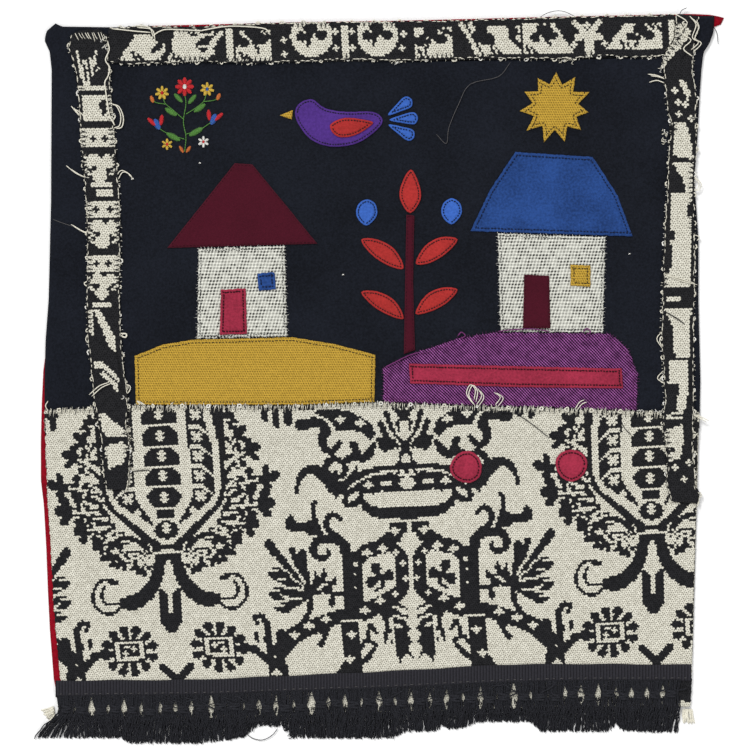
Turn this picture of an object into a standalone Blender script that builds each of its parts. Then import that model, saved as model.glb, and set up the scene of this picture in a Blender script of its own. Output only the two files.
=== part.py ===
"""A sewn textile picture lying flat, face up, with a border, cloth shapes and a knotted fringe.

Lengths are in millimetres until a mesh is made, and metres in the meshes. X runs to the right, Y to the
top edge of the picture and Z up, from the middle of the textile on the surface that it lies on.
Every point in a table is (x, y). The edges of a sheet run from left to right or from top to bottom.
"""
import math

import bmesh
import bpy

MILLIMETRE = 0.001

# Thickness of each cloth, and the space kept between pieces that touch.
GAP = 0.3
BACKING = 1.0
GROUND = 1.0
FIGURED = 1.6
TAPE = 1.2
APPLIED = 1.2
DETAIL = 1.0

# How the cloths rise over each other, from the top edge of the panel to past the edge of the ground.
GROUND_END = -40.0
PANEL_SEAM = -23.5
STEP_CLEARANCE = 2.0
STEP_LENGTH = 16.0
STRIP_RISE = 12.0

# The loose margins ripple outside the picture field.
FIELD_HALF_WIDTH = 212.0
MARGIN_RAMP = 60.0
RIPPLE = 0.6
RIPPLE_TOP = -62.0
RIPPLE_BOTTOM = -195.0

# Trim along the bottom.
RIB_PITCH = 3.2
RIB_DEPTH = 0.3
HEADING = 2.4
FRINGE_LEFT = -258.2
FRINGE_RIGHT = 238.0
KNOT_GROUPS = 37
STRANDS_IN_GROUP = 5
KNOT_DROP = 6.5
KNOT_WIDTH = 0.68
KNOT_HEIGHT = 2.0
YARN_HEIGHT = 1.2
YARN_FILL = 0.74
SWAY = 2.6
SWAY_LENGTH = 82.0

BACKING_EDGES = {
    "top": ((-258, 276.4), (-186, 282), (-66, 285), (14, 286.2), (142, 289.4), (246, 291.6), (263.6, 290.8),
            (273.2, 288.4)),
    "bottom": ((-260.4, -252.4), (-146, -262), (14, -257.2), (142, -252.4), (242.8, -250.8)),
    "left": ((-258, 276.4), (-261.2, 222.8), (-262.8, 94.8), (-266, 46.8), (-268.4, 26.8), (-271.2, 6.8),
             (-272.4, -17.2), (-273.2, -49.2), (-273.2, -81.2), (-270.8, -101.2), (-268.8, -137.2),
             (-267.6, -169.2), (-266, -201.2), (-262.8, -241.2), (-260.4, -252.4)),
    "right": ((273.2, 288.4), (271.6, 283.6), (263.6, 280.4), (257.2, 266), (252.4, 246.8), (250, 206.8),
              (246.8, 158.8), (249.2, 94.8), (250.8, -17.2), (247.6, -81.2), (245.2, -177.2), (242.8, -250.8)),
}
GROUND_EDGES = {
    "top": ((-261.2, 283.6), (-256.4, 281.2), (-226, 280.8), (-186, 280.4), (-66, 283.2), (14, 284.4),
            (142, 287.6), (246, 290), (265.2, 289.6)),
    "bottom": ((-270, GROUND_END), (253.2, GROUND_END)),
    "left": ((-261.2, 283.6), (-268.4, 277.2), (-270, 270), (-266, 261.2), (-264.4, 246.8), (-264.8, 142.8),
             (-266, 94.8), (-266.8, 62.8), (-269.2, 30.8), (-270, -1.2), (-270, GROUND_END)),
    "right": ((265.2, 289.6), (264.4, 276.4), (261.2, 267.6), (256.4, 260.4), (254.8, 246.8), (253.2, 222.8),
              (251.6, 190.8), (249.2, 158.8), (252.4, 110.8), (252.4, 62.8), (254, -1.2), (253.2, GROUND_END)),
}
PANEL_EDGES = {
    "top": ((-270, -26), (-242, -24.4), (-202, -22), (-66, -22), (-6, -19.6), (62, -22), (142, -24.4),
            (206, -26.8), (253.2, -29.2)),
    "bottom": ((-259.6, -268.4), (-146, -271.6), (14, -266), (142, -262), (246, -262)),
    "left": ((-270, -26), (-269.2, -49.2), (-267.6, -97.2), (-265.2, -129.2), (-262.8, -177.2),
             (-259.6, -217.2), (-257.2, -241.2), (-259.6, -268.4)),
    "right": ((253.2, -29.2), (251.6, -49.2), (250.8, -97.2), (249.2, -145.2), (247.6, -209.2),
              (246.8, -241.2), (246, -262)),
}
STRIP_LEFT_EDGES = {
    "top": ((-247.6, 274.8), (-240, 278), (-226, 278.8), (-219.6, 274)),
    "bottom": ((-220.4, -88.4), (-204.4, -88.8)),
    "left": ((-247.6, 274.8), (-250.8, 264.4), (-248.4, 257.2), (-245.2, 245.2), (-242.8, 230.8),
             (-242, 213.2), (-239.6, 174.8), (-236.4, 142.8), (-235.6, 102.8), (-236.4, 62.8),
             (-234.8, 26.8), (-231.6, -1.2), (-229.2, -20.4), (-227.6, -35.6), (-224, -50.8),
             (-223.6, -68.4), (-220.4, -88.4)),
    "right": ((-219.6, 274), (-218.8, 253.2), (-217.2, 230.8), (-215.6, 214.8), (-212.4, 174.8),
              (-210, 142.8), (-209.2, 102.8), (-210, 62.8), (-208.4, 26.8), (-205.2, -1.2),
              (-202.8, -21.2), (-204.4, -37.2), (-202.8, -49.2), (-201.2, -73.2), (-204.4, -88.8)),
}
STRIP_TOP_EDGES = {
    "top": ((-218.8, 279.6), (-194, 281.2), (-150, 280.6), (-106, 283), (-66, 284.2), (14, 285),
            (62, 285.8), (142, 288.2), (206, 289.6), (233.2, 290.4)),
    "bottom": ((-218, 252.6), (-202, 250.8), (-170, 252), (-146, 252.8), (-106, 251.6), (-66, 253.2),
               (-26, 254.6), (14, 253.6), (78, 255.6), (142, 255), (182, 257.6), (206, 256), (223.2, 257.6)),
    "left": ((-218.8, 279.6), (-218, 252.6)),
    "right": ((233.2, 290.4), (232.4, 270.9), (223.2, 257.6)),
}
STRIP_RIGHT_EDGES = {
    "top": ((234, 290.8), (252, 289.6)),
    "bottom": ((230, -98), (251.6, -99.6)),
    "left": ((234, 290.8), (233.2, 270.6), (224.2, 257.2), (224.4, 244.4), (227.6, 215.6), (230.8, 200.4),
             (228.4, 182.8), (226.8, 142.8), (224.4, 102.8), (222.8, 38.8), (225.2, -17.2), (222.8, -33.2),
             (226, -54), (227.6, -70), (226, -79.6), (230, -98)),
    "right": ((252, 289.6), (251.6, 278.8), (248.4, 266.8), (247.6, 242.8), (250.8, 225.2), (250, 210.8),
              (250.8, 182.8), (248.4, 158.8), (249.2, 102.8), (248.4, 38.8), (248.4, -17.2), (247.6, -41.2),
              (247.6, -58), (249.2, -74), (249.2, -85.2), (253.2, -91.6), (251.6, -99.6)),
}
TAPE_TOP = ((-261, -241.2), (-146, -240.4), (14, -233.2), (94, -228.4), (150, -227.8), (246.4, -228.4))
TAPE_BOTTOM = ((-258.8, -254.6), (-146, -253.2), (14, -247.6), (94, -243.6), (150, -242), (246.6, -241.6))
FRINGE_TIPS = ((-258, -287.4), (-210, -287.6), (-202, -291.4), (-146, -291.6), (-110, -287), (-98, -277.6),
               (-80, -278), (-74, -287.4), (6, -287.6), (16, -282.4), (44, -281.6), (48, -276.4), (56, -280.6),
               (70, -278), (78, -274.4), (118, -274.6), (126, -282), (178, -282.2), (184, -275.6),
               (190, -281.4), (238, -283))

# Colour is linear RGB. A shape is cut with straight sides, or round where it is listed as round.
RED = (0.262, 0.006, 0.018)
BLACK = (0.013, 0.014, 0.020)
FIGURED_BLACK = (0.30, 0.28, 0.23)
CREAM = (0.60, 0.56, 0.44)
MAROON = (0.070, 0.010, 0.018)
MUSTARD = (0.458, 0.283, 0.038)
PURPLE_TWILL = (0.110, 0.032, 0.110)
PINK_RED = (0.332, 0.030, 0.065)
BLUE = (0.023, 0.065, 0.227)
PURPLE_FELT = (0.070, 0.028, 0.150)
ORANGE_RED = (0.330, 0.024, 0.020)
BRIGHT_BLUE = (0.042, 0.110, 0.400)

FLAT_SHAPES = {
    "field": (MUSTARD, ((-197, -21.3), (-66, -21.3), (-6.4, -18.9), (-5.6, 19), (-38, 27.5), (-72, 33),
                        (-152, 31), (-176, 27), (-198, 18))),
    "hill": (PURPLE_TWILL, ((0.6, -19), (62, -21.3), (142, -23.7), (203, -26), (204, 4), (196, 24), (182, 36),
                            (88, 37), (60, 32), (30, 22), (0.2, 8))),
    "wall_left": (CREAM, ((-148, 31.9), (-76, 33.6), (-78, 106), (-147, 104))),
    "roof_left": (MAROON, ((-172, 104.2), (-52, 107.6), (-80, 142), (-104, 171), (-118, 172), (-141, 143))),
    "wall_right": (CREAM, ((94, 37.6), (176, 36.7), (178, 113), (92, 116))),
    "roof_right": (BLUE, ((70, 117.6), (200, 113.4), (188, 146), (168, 177), (106, 181), (86, 151))),
    "stem": (MAROON, ((17, 19.4), (26, 22.6), (24.5, 76), (25.5, 130), (19, 131), (18, 77))),
}
ROUND_SHAPES = {
    "leaf_top": (ORANGE_RED, ((22, 132), (30.5, 143), (29, 156), (22.5, 167), (15, 155), (14, 143))),
    "leaf_left_low": (ORANGE_RED, ((17, 48), (6, 50), (-8, 58), (-17, 69), (-4, 69.5), (10, 62))),
    "leaf_left_high": (ORANGE_RED, ((17, 88), (5, 90), (-9, 99), (-17, 111), (-4, 111), (10, 103))),
    "leaf_right_low": (ORANGE_RED, ((26.3, 52), (37, 53), (51, 60), (60, 71), (47, 72.5), (34, 66))),
    "leaf_right_high": (ORANGE_RED, ((26.4, 92), (37, 92), (51, 100), (60, 111), (47, 113), (34, 106))),
    "fruit_left": (BRIGHT_BLUE, ((-13, 122), (-4.5, 130), (-6, 140), (-13.5, 143), (-20, 138), (-20.5, 129))),
    "fruit_right": (BRIGHT_BLUE, ((55, 123), (63, 131), (62, 140), (55, 144), (48, 139), (47.5, 130))),
    "bird_body": (PURPLE_FELT, ((-70, 212), (-66, 220), (-56, 223), (-46, 216), (-30, 213), (-8, 213), (0, 207),
                                (-4, 199), (-20, 188), (-40, 185), (-56, 190), (-66, 201))),
}
DETAIL_SHAPES = {
    "path": (PINK_RED, ((22, -4), (106, -7), (192, -8), (191, 8), (104, 10), (21, 12))),
    "door_left": (PINK_RED, ((-130, 34.8), (-108, 35.4), (-109, 72), (-129, 71))),
    "window_left": (BLUE, ((-99, 70), (-85, 71), (-86, 85), (-100, 84))),
    "door_right": (MAROON, ((112, 40), (134, 40), (133, 82), (113, 83))),
    "window_right": (MUSTARD, ((150, 74), (166, 73), (166, 90), (150, 91))),
    "bird_wing": (ORANGE_RED, ((-42, 202), (-30, 208), (-12, 206), (-8, 203), (-22, 194), (-36, 193))),
}
ROUND_DETAILS = ("bird_wing",)
BEAK = ((-71.6, 214.4), (-82, 210.2), (-72.4, 206.6))

# Three tail drops fan out behind the bird: the angle from the X axis, in degrees.
TAIL_ROOT = (-2.0, 206.0)
TAIL_ANGLES = {"tail_low": -26, "tail_middle": 4, "tail_high": 34}
TAIL_START = 7.5
TAIL_LENGTH = 23.0
TAIL_WIDTH = 10.0

SUN_CENTRE = (138.0, 217.0)
SUN_RAYS = 11
SUN_INNER = 18.5
SUN_OUTER = 28.5

DOT_RADIUS = 12.8
DOT_SIDES = 20
DOTS = {"dot_left": (66.8, -70.8), "dot_right": (150.8, -69.2)}

# Bunches of warp ends at the panel's lower corners: (root start, root end, tip start, tip end).
TUFTS = {
    "tuft_left": ((-262.8, -262.4), (-261.7, -270.4), (-272.6, -266.4), (-265.2, -276.2)),
    "tuft_right": ((240.0, -264.4), (247.2, -264.2), (240.2, -275.2), (248.6, -276.4)),
}
TUFT_STRANDS = 5
TUFT_ROOT = 1.4
TUFT_HEIGHT = 1.6


def clear_scene():
    for obj in list(bpy.data.objects):
        bpy.data.objects.remove(obj, do_unlink=True)


def ease(share):
    """0 below 0, 1 above 1, and a smooth rise between them."""
    share = min(max(share, 0.0), 1.0)
    return share * share * (3.0 - 2.0 * share)


def mix(a, b, share):
    return a + (b - a) * share


def make_material(name, colour, roughness):
    material = bpy.data.materials.new(name)
    material.use_nodes = True
    shader = material.node_tree.nodes["Principled BSDF"]
    shader.inputs["Base Color"].default_value = (*colour, 1.0)
    shader.inputs["Roughness"].default_value = roughness
    shader.inputs["Metallic"].default_value = 0.0
    return material


def make_object(name, points, faces, colour, roughness=0.9):
    """One closed cloth piece from points in millimetres, with its faces turned outwards."""
    shape = bmesh.new()
    corners = [shape.verts.new([value * MILLIMETRE for value in point]) for point in points]
    for face in faces:
        shape.faces.new([corners[index] for index in face])
    bmesh.ops.recalc_face_normals(shape, faces=shape.faces)
    mesh = bpy.data.meshes.new(name)
    shape.to_mesh(mesh)
    shape.free()
    mesh.materials.append(make_material(name + "_cloth", colour, roughness))
    obj = bpy.data.objects.new(name, mesh)
    bpy.context.collection.objects.link(obj)
    return obj


def edge_shares(edge):
    """How far along the edge each of its points is, from 0 to 1."""
    lengths = [0.0]
    for start, end in zip(edge, edge[1:]):
        lengths.append(lengths[-1] + math.dist(start, end))
    return [length / lengths[-1] for length in lengths]


def edge_point(edge, share):
    """The point of the edge at a share of its length."""
    shares = edge_shares(edge)
    for index in range(1, len(edge)):
        if share <= shares[index] or index == len(edge) - 1:
            part = (share - shares[index - 1]) / (shares[index] - shares[index - 1])
            start, end = edge[index - 1], edge[index]
            return mix(start[0], end[0], part), mix(start[1], end[1], part)


def height_of(line, x):
    """The y of a line that runs from left to right, at x."""
    for start, end in zip(line, line[1:]):
        if x <= end[0]:
            break
    share = min(max((x - start[0]) / (end[0] - start[0]), 0.0), 1.0)
    return mix(start[1], end[1], share)


def stations(edge_a, edge_b, longest, extra=()):
    """Shares for the rows between two edges: at their points, and no further apart than longest."""
    shares = sorted(set(edge_shares(edge_a) + edge_shares(edge_b) + list(extra)))
    nearest = 0.006
    kept = [0.0]
    for share in shares[1:-1]:
        if share - kept[-1] > nearest and 1.0 - share > nearest:
            kept.append(share)
    kept.append(1.0)
    rows = []
    for start, end in zip(kept, kept[1:]):
        steps = max(1, math.ceil((end - start) / longest))
        rows.extend(mix(start, end, step / steps) for step in range(steps))
    return rows + [1.0]


def sheet_point(edges, across, down):
    """The point of a sheet between its four uneven edges."""
    top = edge_point(edges["top"], across)
    bottom = edge_point(edges["bottom"], across)
    left = edge_point(edges["left"], down)
    right = edge_point(edges["right"], down)
    corners = (edges["top"][0], edges["top"][-1], edges["bottom"][0], edges["bottom"][-1])
    point = []
    for axis in (0, 1):
        between = mix(top[axis], bottom[axis], down) + mix(left[axis], right[axis], across)
        upper = mix(corners[0][axis], corners[1][axis], across)
        lower = mix(corners[2][axis], corners[3][axis], across)
        point.append(between - mix(upper, lower, down))
    return tuple(point)


def ripple(x, y):
    """How far the loose margins stand off what is under them."""
    side = ease((abs(x) - FIELD_HALF_WIDTH) / MARGIN_RAMP)
    below = ease((RIPPLE_TOP - y) / MARGIN_RAMP)
    above_trim = 1.0 - ease((RIPPLE_BOTTOM - y) / 30.0)
    wave = 0.5 + 0.5 * math.sin(y / 27.0 + x / 60.0)
    return RIPPLE * max(side, below) * above_trim * wave


def ground_rest(x, y):
    return BACKING + GAP + ripple(x, y)


def panel_rest(x, y):
    """Over the lower edge of the ground, and down to the backing past it."""
    over_ground = 1.0 - ease((GROUND_END - STEP_CLEARANCE - y) / STEP_LENGTH)
    return ground_rest(x, y) + (GROUND + GAP) * over_ground


def strip_rest(x, y):
    """On the ground, then up over the top edge of the panel."""
    on_ground = ground_rest(x, y) + GROUND + GAP
    on_panel = panel_rest(x, y) + FIGURED + GAP
    return mix(on_ground, on_panel, ease((PANEL_SEAM + STEP_CLEARANCE + STRIP_RISE - y) / STRIP_RISE))


def corner_roll(x, y):
    """The folded top left corner of the ground is thicker."""
    return GROUND + 1.4 * ease(1.0 - math.dist((x, y), (-266, 276)) / 15.0)


def make_sheet(name, edges, colour, rest, thickness, columns, rows):
    """A cloth sheet between four edges: rest gives its underside and thickness its upper side."""
    grid = [[sheet_point(edges, across, down) for across in columns] for down in rows]
    points = [(x, y, rest(x, y)) for row in grid for x, y in row]
    count = len(points)
    points += [(x, y, rest(x, y) + thickness(x, y)) for row in grid for x, y in row]
    wide, high = len(columns), len(rows)
    faces = []
    for row in range(high - 1):
        for column in range(wide - 1):
            a = row * wide + column
            lower = (a, a + 1, a + wide + 1, a + wide)
            faces.append(lower)
            faces.append([index + count for index in reversed(lower)])
    rim = [column for column in range(wide)]
    rim += [row * wide + wide - 1 for row in range(1, high)]
    rim += [(high - 1) * wide + column for column in range(wide - 2, -1, -1)]
    rim += [row * wide for row in range(high - 2, 0, -1)]
    for here, there in zip(rim, rim[1:] + rim[:1]):
        faces.append((here, there, there + count, here + count))
    return make_object(name, points, faces, colour)


def make_backing():
    columns = stations(BACKING_EDGES["top"], BACKING_EDGES["bottom"], 0.12)
    rows = stations(BACKING_EDGES["left"], BACKING_EDGES["right"], 0.10)
    make_sheet("backing", BACKING_EDGES, RED, lambda x, y: 0.0, lambda x, y: BACKING, columns, rows)


def make_ground():
    columns = stations(GROUND_EDGES["top"], GROUND_EDGES["bottom"], 0.10, (0.02, 0.05, 0.08, 0.93))
    rows = stations(GROUND_EDGES["left"], GROUND_EDGES["right"], 0.07)
    make_sheet("ground", GROUND_EDGES, BLACK, ground_rest, corner_roll, columns, rows)


def make_panel():
    columns = stations(PANEL_EDGES["top"], PANEL_EDGES["bottom"], 0.10)
    step_rows = [0.025 * count for count in range(1, 8)]
    rows = stations(PANEL_EDGES["left"], PANEL_EDGES["right"], 0.07, step_rows)
    make_sheet("woven_panel", PANEL_EDGES, FIGURED_BLACK, panel_rest, lambda x, y: FIGURED, columns, rows)


def make_strips():
    thick = lambda x, y: FIGURED
    for name, edges in (("strip_left", STRIP_LEFT_EDGES), ("strip_right", STRIP_RIGHT_EDGES)):
        rows = stations(edges["left"], edges["right"], 0.016)
        make_sheet(name, edges, FIGURED_BLACK, strip_rest, thick, (0.0, 0.5, 1.0), rows)
    columns = stations(STRIP_TOP_EDGES["top"], STRIP_TOP_EDGES["bottom"], 0.06)
    make_sheet("strip_top", STRIP_TOP_EDGES, FIGURED_BLACK, strip_rest, thick, columns, (0.0, 0.5, 1.0))


def make_tape():
    """Ribs run across the tape, each a ridge and a groove in its upper face."""
    left, right = TAPE_TOP[0][0], TAPE_TOP[-1][0]
    ribs = int((right - left) / RIB_PITCH)
    crossings = 2 * ribs
    under = panel_rest(0, TAPE_TOP[0][1]) + FIGURED + GAP
    points = []
    for line in (TAPE_TOP, TAPE_BOTTOM):
        for index in range(crossings + 1):
            x = mix(line[0][0], line[-1][0], index / crossings)
            points.append((x, height_of(line, x), under + TAPE - RIB_DEPTH * (index % 2)))
    row = crossings + 1
    faces = [(index, index + 1, index + row + 1, index + row) for index in range(crossings)]
    ribs_in_section = 2 * (ribs // 12)
    marks = list(range(0, crossings, ribs_in_section)) + [crossings]
    below = len(points)
    for line_start in (0, row):
        points += [(points[line_start + mark][0], points[line_start + mark][1], under) for mark in marks]
    count = len(marks)
    for section in range(count - 1):
        start, end = marks[section], marks[section + 1]
        a, b = below + section, below + section + 1
        faces.append((a, b, b + count, a + count))
        faces.append([a, *range(start, end + 1), b])
        faces.append([a + count, *range(row + start, row + end + 1), b + count])
    faces.append((below, 0, row, below + count))
    faces.append((below + count - 1, crossings, row + crossings, below + 2 * count - 1))
    make_object("fringe_tape", points, faces, BLACK)


def add_strands(points, faces, rings, heights, floors):
    """Three-sided yarns from a root strip. rings[k] lists each strand's (x, y) at step k, its yarn's
    lowest height is in floors[k] and its ridge is heights[k] above that."""
    strands = len(rings[0])
    start = len(points)
    for ring, height, floor in zip(rings, heights, floors):
        for index, (x, y) in enumerate(ring):
            before = ring[max(index - 1, 0)]
            after = ring[min(index + 1, strands - 1)]
            spaces = 1 if index in (0, strands - 1) else 2
            half = ((after[0] - before[0]) / spaces * YARN_FILL / 2, (after[1] - before[1]) / spaces * YARN_FILL / 2)
            points.append((x - half[0], y - half[1], floor))
            points.append((x + half[0], y + half[1], floor))
            points.append((x, y, floor + height))
    for step in range(len(rings) - 1):
        for index in range(strands):
            a = start + 3 * (step * strands + index)
            b = a + 3 * strands
            for side in range(3):
                following = (side + 1) % 3
                faces.append((a + side, a + following, b + following, b + side))
    tips = start + 3 * strands * (len(rings) - 1)
    faces.extend((tips + 3 * index, tips + 3 * index + 1, tips + 3 * index + 2) for index in range(strands))
    return start


def add_root_strip(points, faces, front, back, floor, top):
    """The strip behind the strands' roots. front is the index of the first root's points and back
    lists the points of the strip's far side, one for each strand."""
    strands = len(back)
    base = len(points)
    points += [(x, y, floor) for x, y in back]
    points += [(x, y, top) for x, y in back]
    for index in range(strands):
        left, right = front + 3 * index, front + 3 * index + 1
        faces.append((left, right, base + index))
        if index == strands - 1:
            break
        ridge, next_left, next_ridge = front + 3 * index + 2, front + 3 * index + 3, front + 3 * index + 5
        faces.append((right, next_left, next_ridge, ridge))
        faces.append((right, next_left, base + index + 1, base + index))
        faces.append((ridge, next_ridge, base + strands + index + 1, base + strands + index))
        faces.append((base + index, base + index + 1, base + strands + index + 1, base + strands + index))
    last = front + 3 * (strands - 1)
    faces.append((front, front + 2, base + strands, base))
    faces.append((last + 1, last + 2, base + 2 * strands - 1, base + strands - 1))


def sway(x):
    """How far the loose ends lean sideways: a slow wave, and a flare at the left end."""
    flare = -13.5 * ease((-238.0 - x) / 22.0)
    lean = -3.0 * ease((x - 214.0) / 26.0)
    return SWAY * math.sin(x / SWAY_LENGTH * 2.0 * math.pi) + flare + lean


def fringe_rings():
    """Strand centres at the root, the knot, the panel's edge, the surface and the tip."""
    group_width = (FRINGE_RIGHT - FRINGE_LEFT) / KNOT_GROUPS
    rings = [[] for _ in range(5)]
    for group in range(KNOT_GROUPS):
        centre = FRINGE_LEFT + (group + 0.5) * group_width
        for strand in range(STRANDS_IN_GROUP):
            offset = ((strand + 0.5) / STRANDS_IN_GROUP - 0.5) * group_width
            x = centre + offset
            root = height_of(TAPE_BOTTOM, x) - GAP - HEADING
            cloth_end = height_of(PANEL_EDGES["bottom"], x) - STEP_CLEARANCE
            tip = height_of(FRINGE_TIPS, x)
            landing = mix(cloth_end, tip, 0.55)
            rings[0].append((x, root))
            rings[1].append((centre + offset * KNOT_WIDTH, root - KNOT_DROP))
            rings[2].append((centre + offset * 0.9 + sway(x) * 0.15, cloth_end))
            rings[3].append((x + sway(x) * 0.6, landing))
            rings[4].append((x + sway(x), tip))
    return rings


def make_fringe():
    on_panel = BACKING + GAP + FIGURED + GAP
    floors = (on_panel, on_panel, on_panel, 0.0, 0.0)
    heights = (YARN_HEIGHT, KNOT_HEIGHT, YARN_HEIGHT, YARN_HEIGHT, 0.8)
    rings = fringe_rings()
    points, faces = [], []
    front = add_strands(points, faces, rings, heights, floors)
    back = [(x, y + HEADING) for x, y in rings[0]]
    add_root_strip(points, faces, front, back, on_panel, on_panel + YARN_HEIGHT)
    make_object("fringe", points, faces, BLACK)


def make_tufts():
    for name, (root_a, root_b, tip_a, tip_b) in TUFTS.items():
        rings = [[], [], []]
        for strand in range(TUFT_STRANDS):
            share = strand / (TUFT_STRANDS - 1)
            root = (mix(root_a[0], root_b[0], share), mix(root_a[1], root_b[1], share))
            tip = (mix(tip_a[0], tip_b[0], share), mix(tip_a[1], tip_b[1], share))
            curl = 1.2 * math.sin(3.0 * share)
            rings[0].append(root)
            rings[1].append((mix(root[0], tip[0], 0.5) + curl, mix(root[1], tip[1], 0.5) - curl))
            rings[2].append(tip)
        along = (root_b[0] - root_a[0], root_b[1] - root_a[1])
        length = math.hypot(*along)
        away = (-along[1] / length * TUFT_ROOT, along[0] / length * TUFT_ROOT)
        back = [(x + away[0], y + away[1]) for x, y in rings[0]]
        points, faces = [], []
        front = add_strands(points, faces, rings, (TUFT_HEIGHT, TUFT_HEIGHT, 0.8), (0.0, 0.0, 0.0))
        add_root_strip(points, faces, front, back, 0.0, TUFT_HEIGHT)
        make_object(name, points, faces, CREAM)


def round_outline(corners, steps=4):
    """A closed smooth curve through the corners."""
    outline = []
    count = len(corners)
    for index in range(count):
        before, start, end, after = (corners[(index + shift) % count] for shift in (-1, 0, 1, 2))
        for step in range(steps):
            t = step / steps
            outline.append(tuple(
                0.5 * (2 * start[axis] + (end[axis] - before[axis]) * t
                       + (2 * before[axis] - 5 * start[axis] + 4 * end[axis] - after[axis]) * t ** 2
                       + (3 * start[axis] - before[axis] - 3 * end[axis] + after[axis]) * t ** 3)
                for axis in (0, 1)))
    return outline


def cut_shape(name, outline, colour, underside, thickness):
    """A flat piece of cloth with the outline, from its underside up."""
    count = len(outline)
    points = [(x, y, underside) for x, y in outline]
    points += [(x, y, underside + thickness) for x, y in outline]
    faces = [list(range(count)), list(range(count, 2 * count))]
    for here in range(count):
        there = (here + 1) % count
        faces.append((here, there, there + count, here + count))
    make_object(name, points, faces, colour)


def make_picture():
    """Two houses, a tree, a bird and a sun over a field and a hill."""
    on_ground = BACKING + GROUND + 2 * GAP
    on_shape = on_ground + APPLIED + GAP
    for name, (colour, outline) in FLAT_SHAPES.items():
        cut_shape(name, outline, colour, on_ground, APPLIED)
    for name, (colour, corners) in ROUND_SHAPES.items():
        cut_shape(name, round_outline(corners), colour, on_ground, APPLIED)
    for name, (colour, corners) in DETAIL_SHAPES.items():
        outline = round_outline(corners) if name in ROUND_DETAILS else corners
        cut_shape(name, outline, colour, on_shape, DETAIL)
    cut_shape("beak", BEAK, MUSTARD, on_ground, APPLIED)
    for name, angle in TAIL_ANGLES.items():
        cut_shape(name, round_outline(tail_corners(angle)), BRIGHT_BLUE, on_ground, APPLIED)
    cut_shape("sun", sun_outline(), MUSTARD, on_ground, APPLIED)


def tail_corners(angle):
    """A drop, narrow at the bird and round at its end."""
    turn = math.radians(angle)
    corners = []
    for distance, side in ((0.0, 0.0), (0.5, -0.36), (0.86, -0.48), (1.0, 0.0), (0.86, 0.48), (0.5, 0.36)):
        out, across = TAIL_START + distance * TAIL_LENGTH, side * TAIL_WIDTH
        corners.append((TAIL_ROOT[0] + out * math.cos(turn) - across * math.sin(turn),
                        TAIL_ROOT[1] + out * math.sin(turn) + across * math.cos(turn)))
    return corners


def sun_outline():
    """Hand-cut rays of uneven length round the sun."""
    outline = []
    for index in range(2 * SUN_RAYS):
        turn = math.pi * index / SUN_RAYS + 0.12
        radius = SUN_OUTER - 1.6 * math.cos(2.7 * index) if index % 2 else SUN_INNER
        outline.append((SUN_CENTRE[0] + radius * math.cos(turn), SUN_CENTRE[1] + radius * math.sin(turn)))
    return outline


def make_dots():
    """Two round patches that follow the panel under them."""
    for name, (centre_x, centre_y) in DOTS.items():
        flat = [(centre_x, centre_y)]
        for share in (0.5, 1.0):
            for side in range(DOT_SIDES):
                turn = 2 * math.pi * side / DOT_SIDES
                radius = share * DOT_RADIUS * (1 + 0.03 * math.sin(3 * turn + centre_x))
                flat.append((centre_x + radius * math.cos(turn), centre_y + radius * math.sin(turn)))
        count = len(flat)
        points = [(x, y, panel_rest(x, y) + FIGURED + GAP) for x, y in flat]
        points += [(x, y, z + DETAIL) for x, y, z in points]
        faces = []
        for side in range(DOT_SIDES):
            here, there = 1 + side, 1 + (side + 1) % DOT_SIDES
            for face in ((0, here, there), (here, here + DOT_SIDES, there + DOT_SIDES, there)):
                faces.append(face)
                faces.append([index + count for index in reversed(face)])
            outer, following = here + DOT_SIDES, there + DOT_SIDES
            faces.append((outer, following, following + count, outer + count))
        make_object(name, points, faces, PINK_RED)


def main():
    clear_scene()
    make_backing()
    make_ground()
    make_panel()
    make_strips()
    make_tape()
    make_fringe()
    make_tufts()
    make_picture()
    make_dots()


main()
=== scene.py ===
"""The looks of a sewn textile picture that lies flat, face up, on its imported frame.

Lengths are in millimetres until a mesh is made, and metres in the meshes. X runs to the right, Y to the
top edge of the picture and Z up. The tables of edges and shapes are those of the solids.
"""
import math
import random

import bmesh
import bpy
import numpy as np
from mathutils.geometry import delaunay_2d_cdt
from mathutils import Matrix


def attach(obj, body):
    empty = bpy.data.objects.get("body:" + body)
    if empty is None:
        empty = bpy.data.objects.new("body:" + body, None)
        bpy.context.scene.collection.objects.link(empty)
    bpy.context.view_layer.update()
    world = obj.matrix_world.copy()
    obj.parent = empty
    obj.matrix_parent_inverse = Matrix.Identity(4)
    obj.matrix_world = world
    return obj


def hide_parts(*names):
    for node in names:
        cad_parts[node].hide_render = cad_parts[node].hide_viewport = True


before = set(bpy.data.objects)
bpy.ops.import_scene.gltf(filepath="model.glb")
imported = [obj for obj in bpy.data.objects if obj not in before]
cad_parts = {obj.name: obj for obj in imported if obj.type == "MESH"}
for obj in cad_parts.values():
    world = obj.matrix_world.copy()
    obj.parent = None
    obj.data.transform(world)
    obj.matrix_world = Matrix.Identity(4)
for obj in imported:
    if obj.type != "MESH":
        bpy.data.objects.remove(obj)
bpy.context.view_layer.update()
MILLIMETRE = 0.001
CHANCE = random.Random(11)

# Thickness of each cloth, the space between pieces, and how the cloths rise over each other.
GAP = 0.3
BACKING = 1.0
GROUND = 1.0
FIGURED = 1.6
TAPE = 1.2
APPLIED = 1.2
DETAIL = 1.0
GROUND_END = -40.0
PANEL_SEAM = -23.5
STEP_CLEARANCE = 2.0
STEP_LENGTH = 16.0
STRIP_RISE = 12.0
FIELD_HALF_WIDTH = 212.0
MARGIN_RAMP = 60.0
RIPPLE = 0.6
RIPPLE_TOP = -62.0
RIPPLE_BOTTOM = -195.0
ON_GROUND = BACKING + GROUND + 2 * GAP
ON_SHAPE = ON_GROUND + APPLIED + GAP

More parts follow.
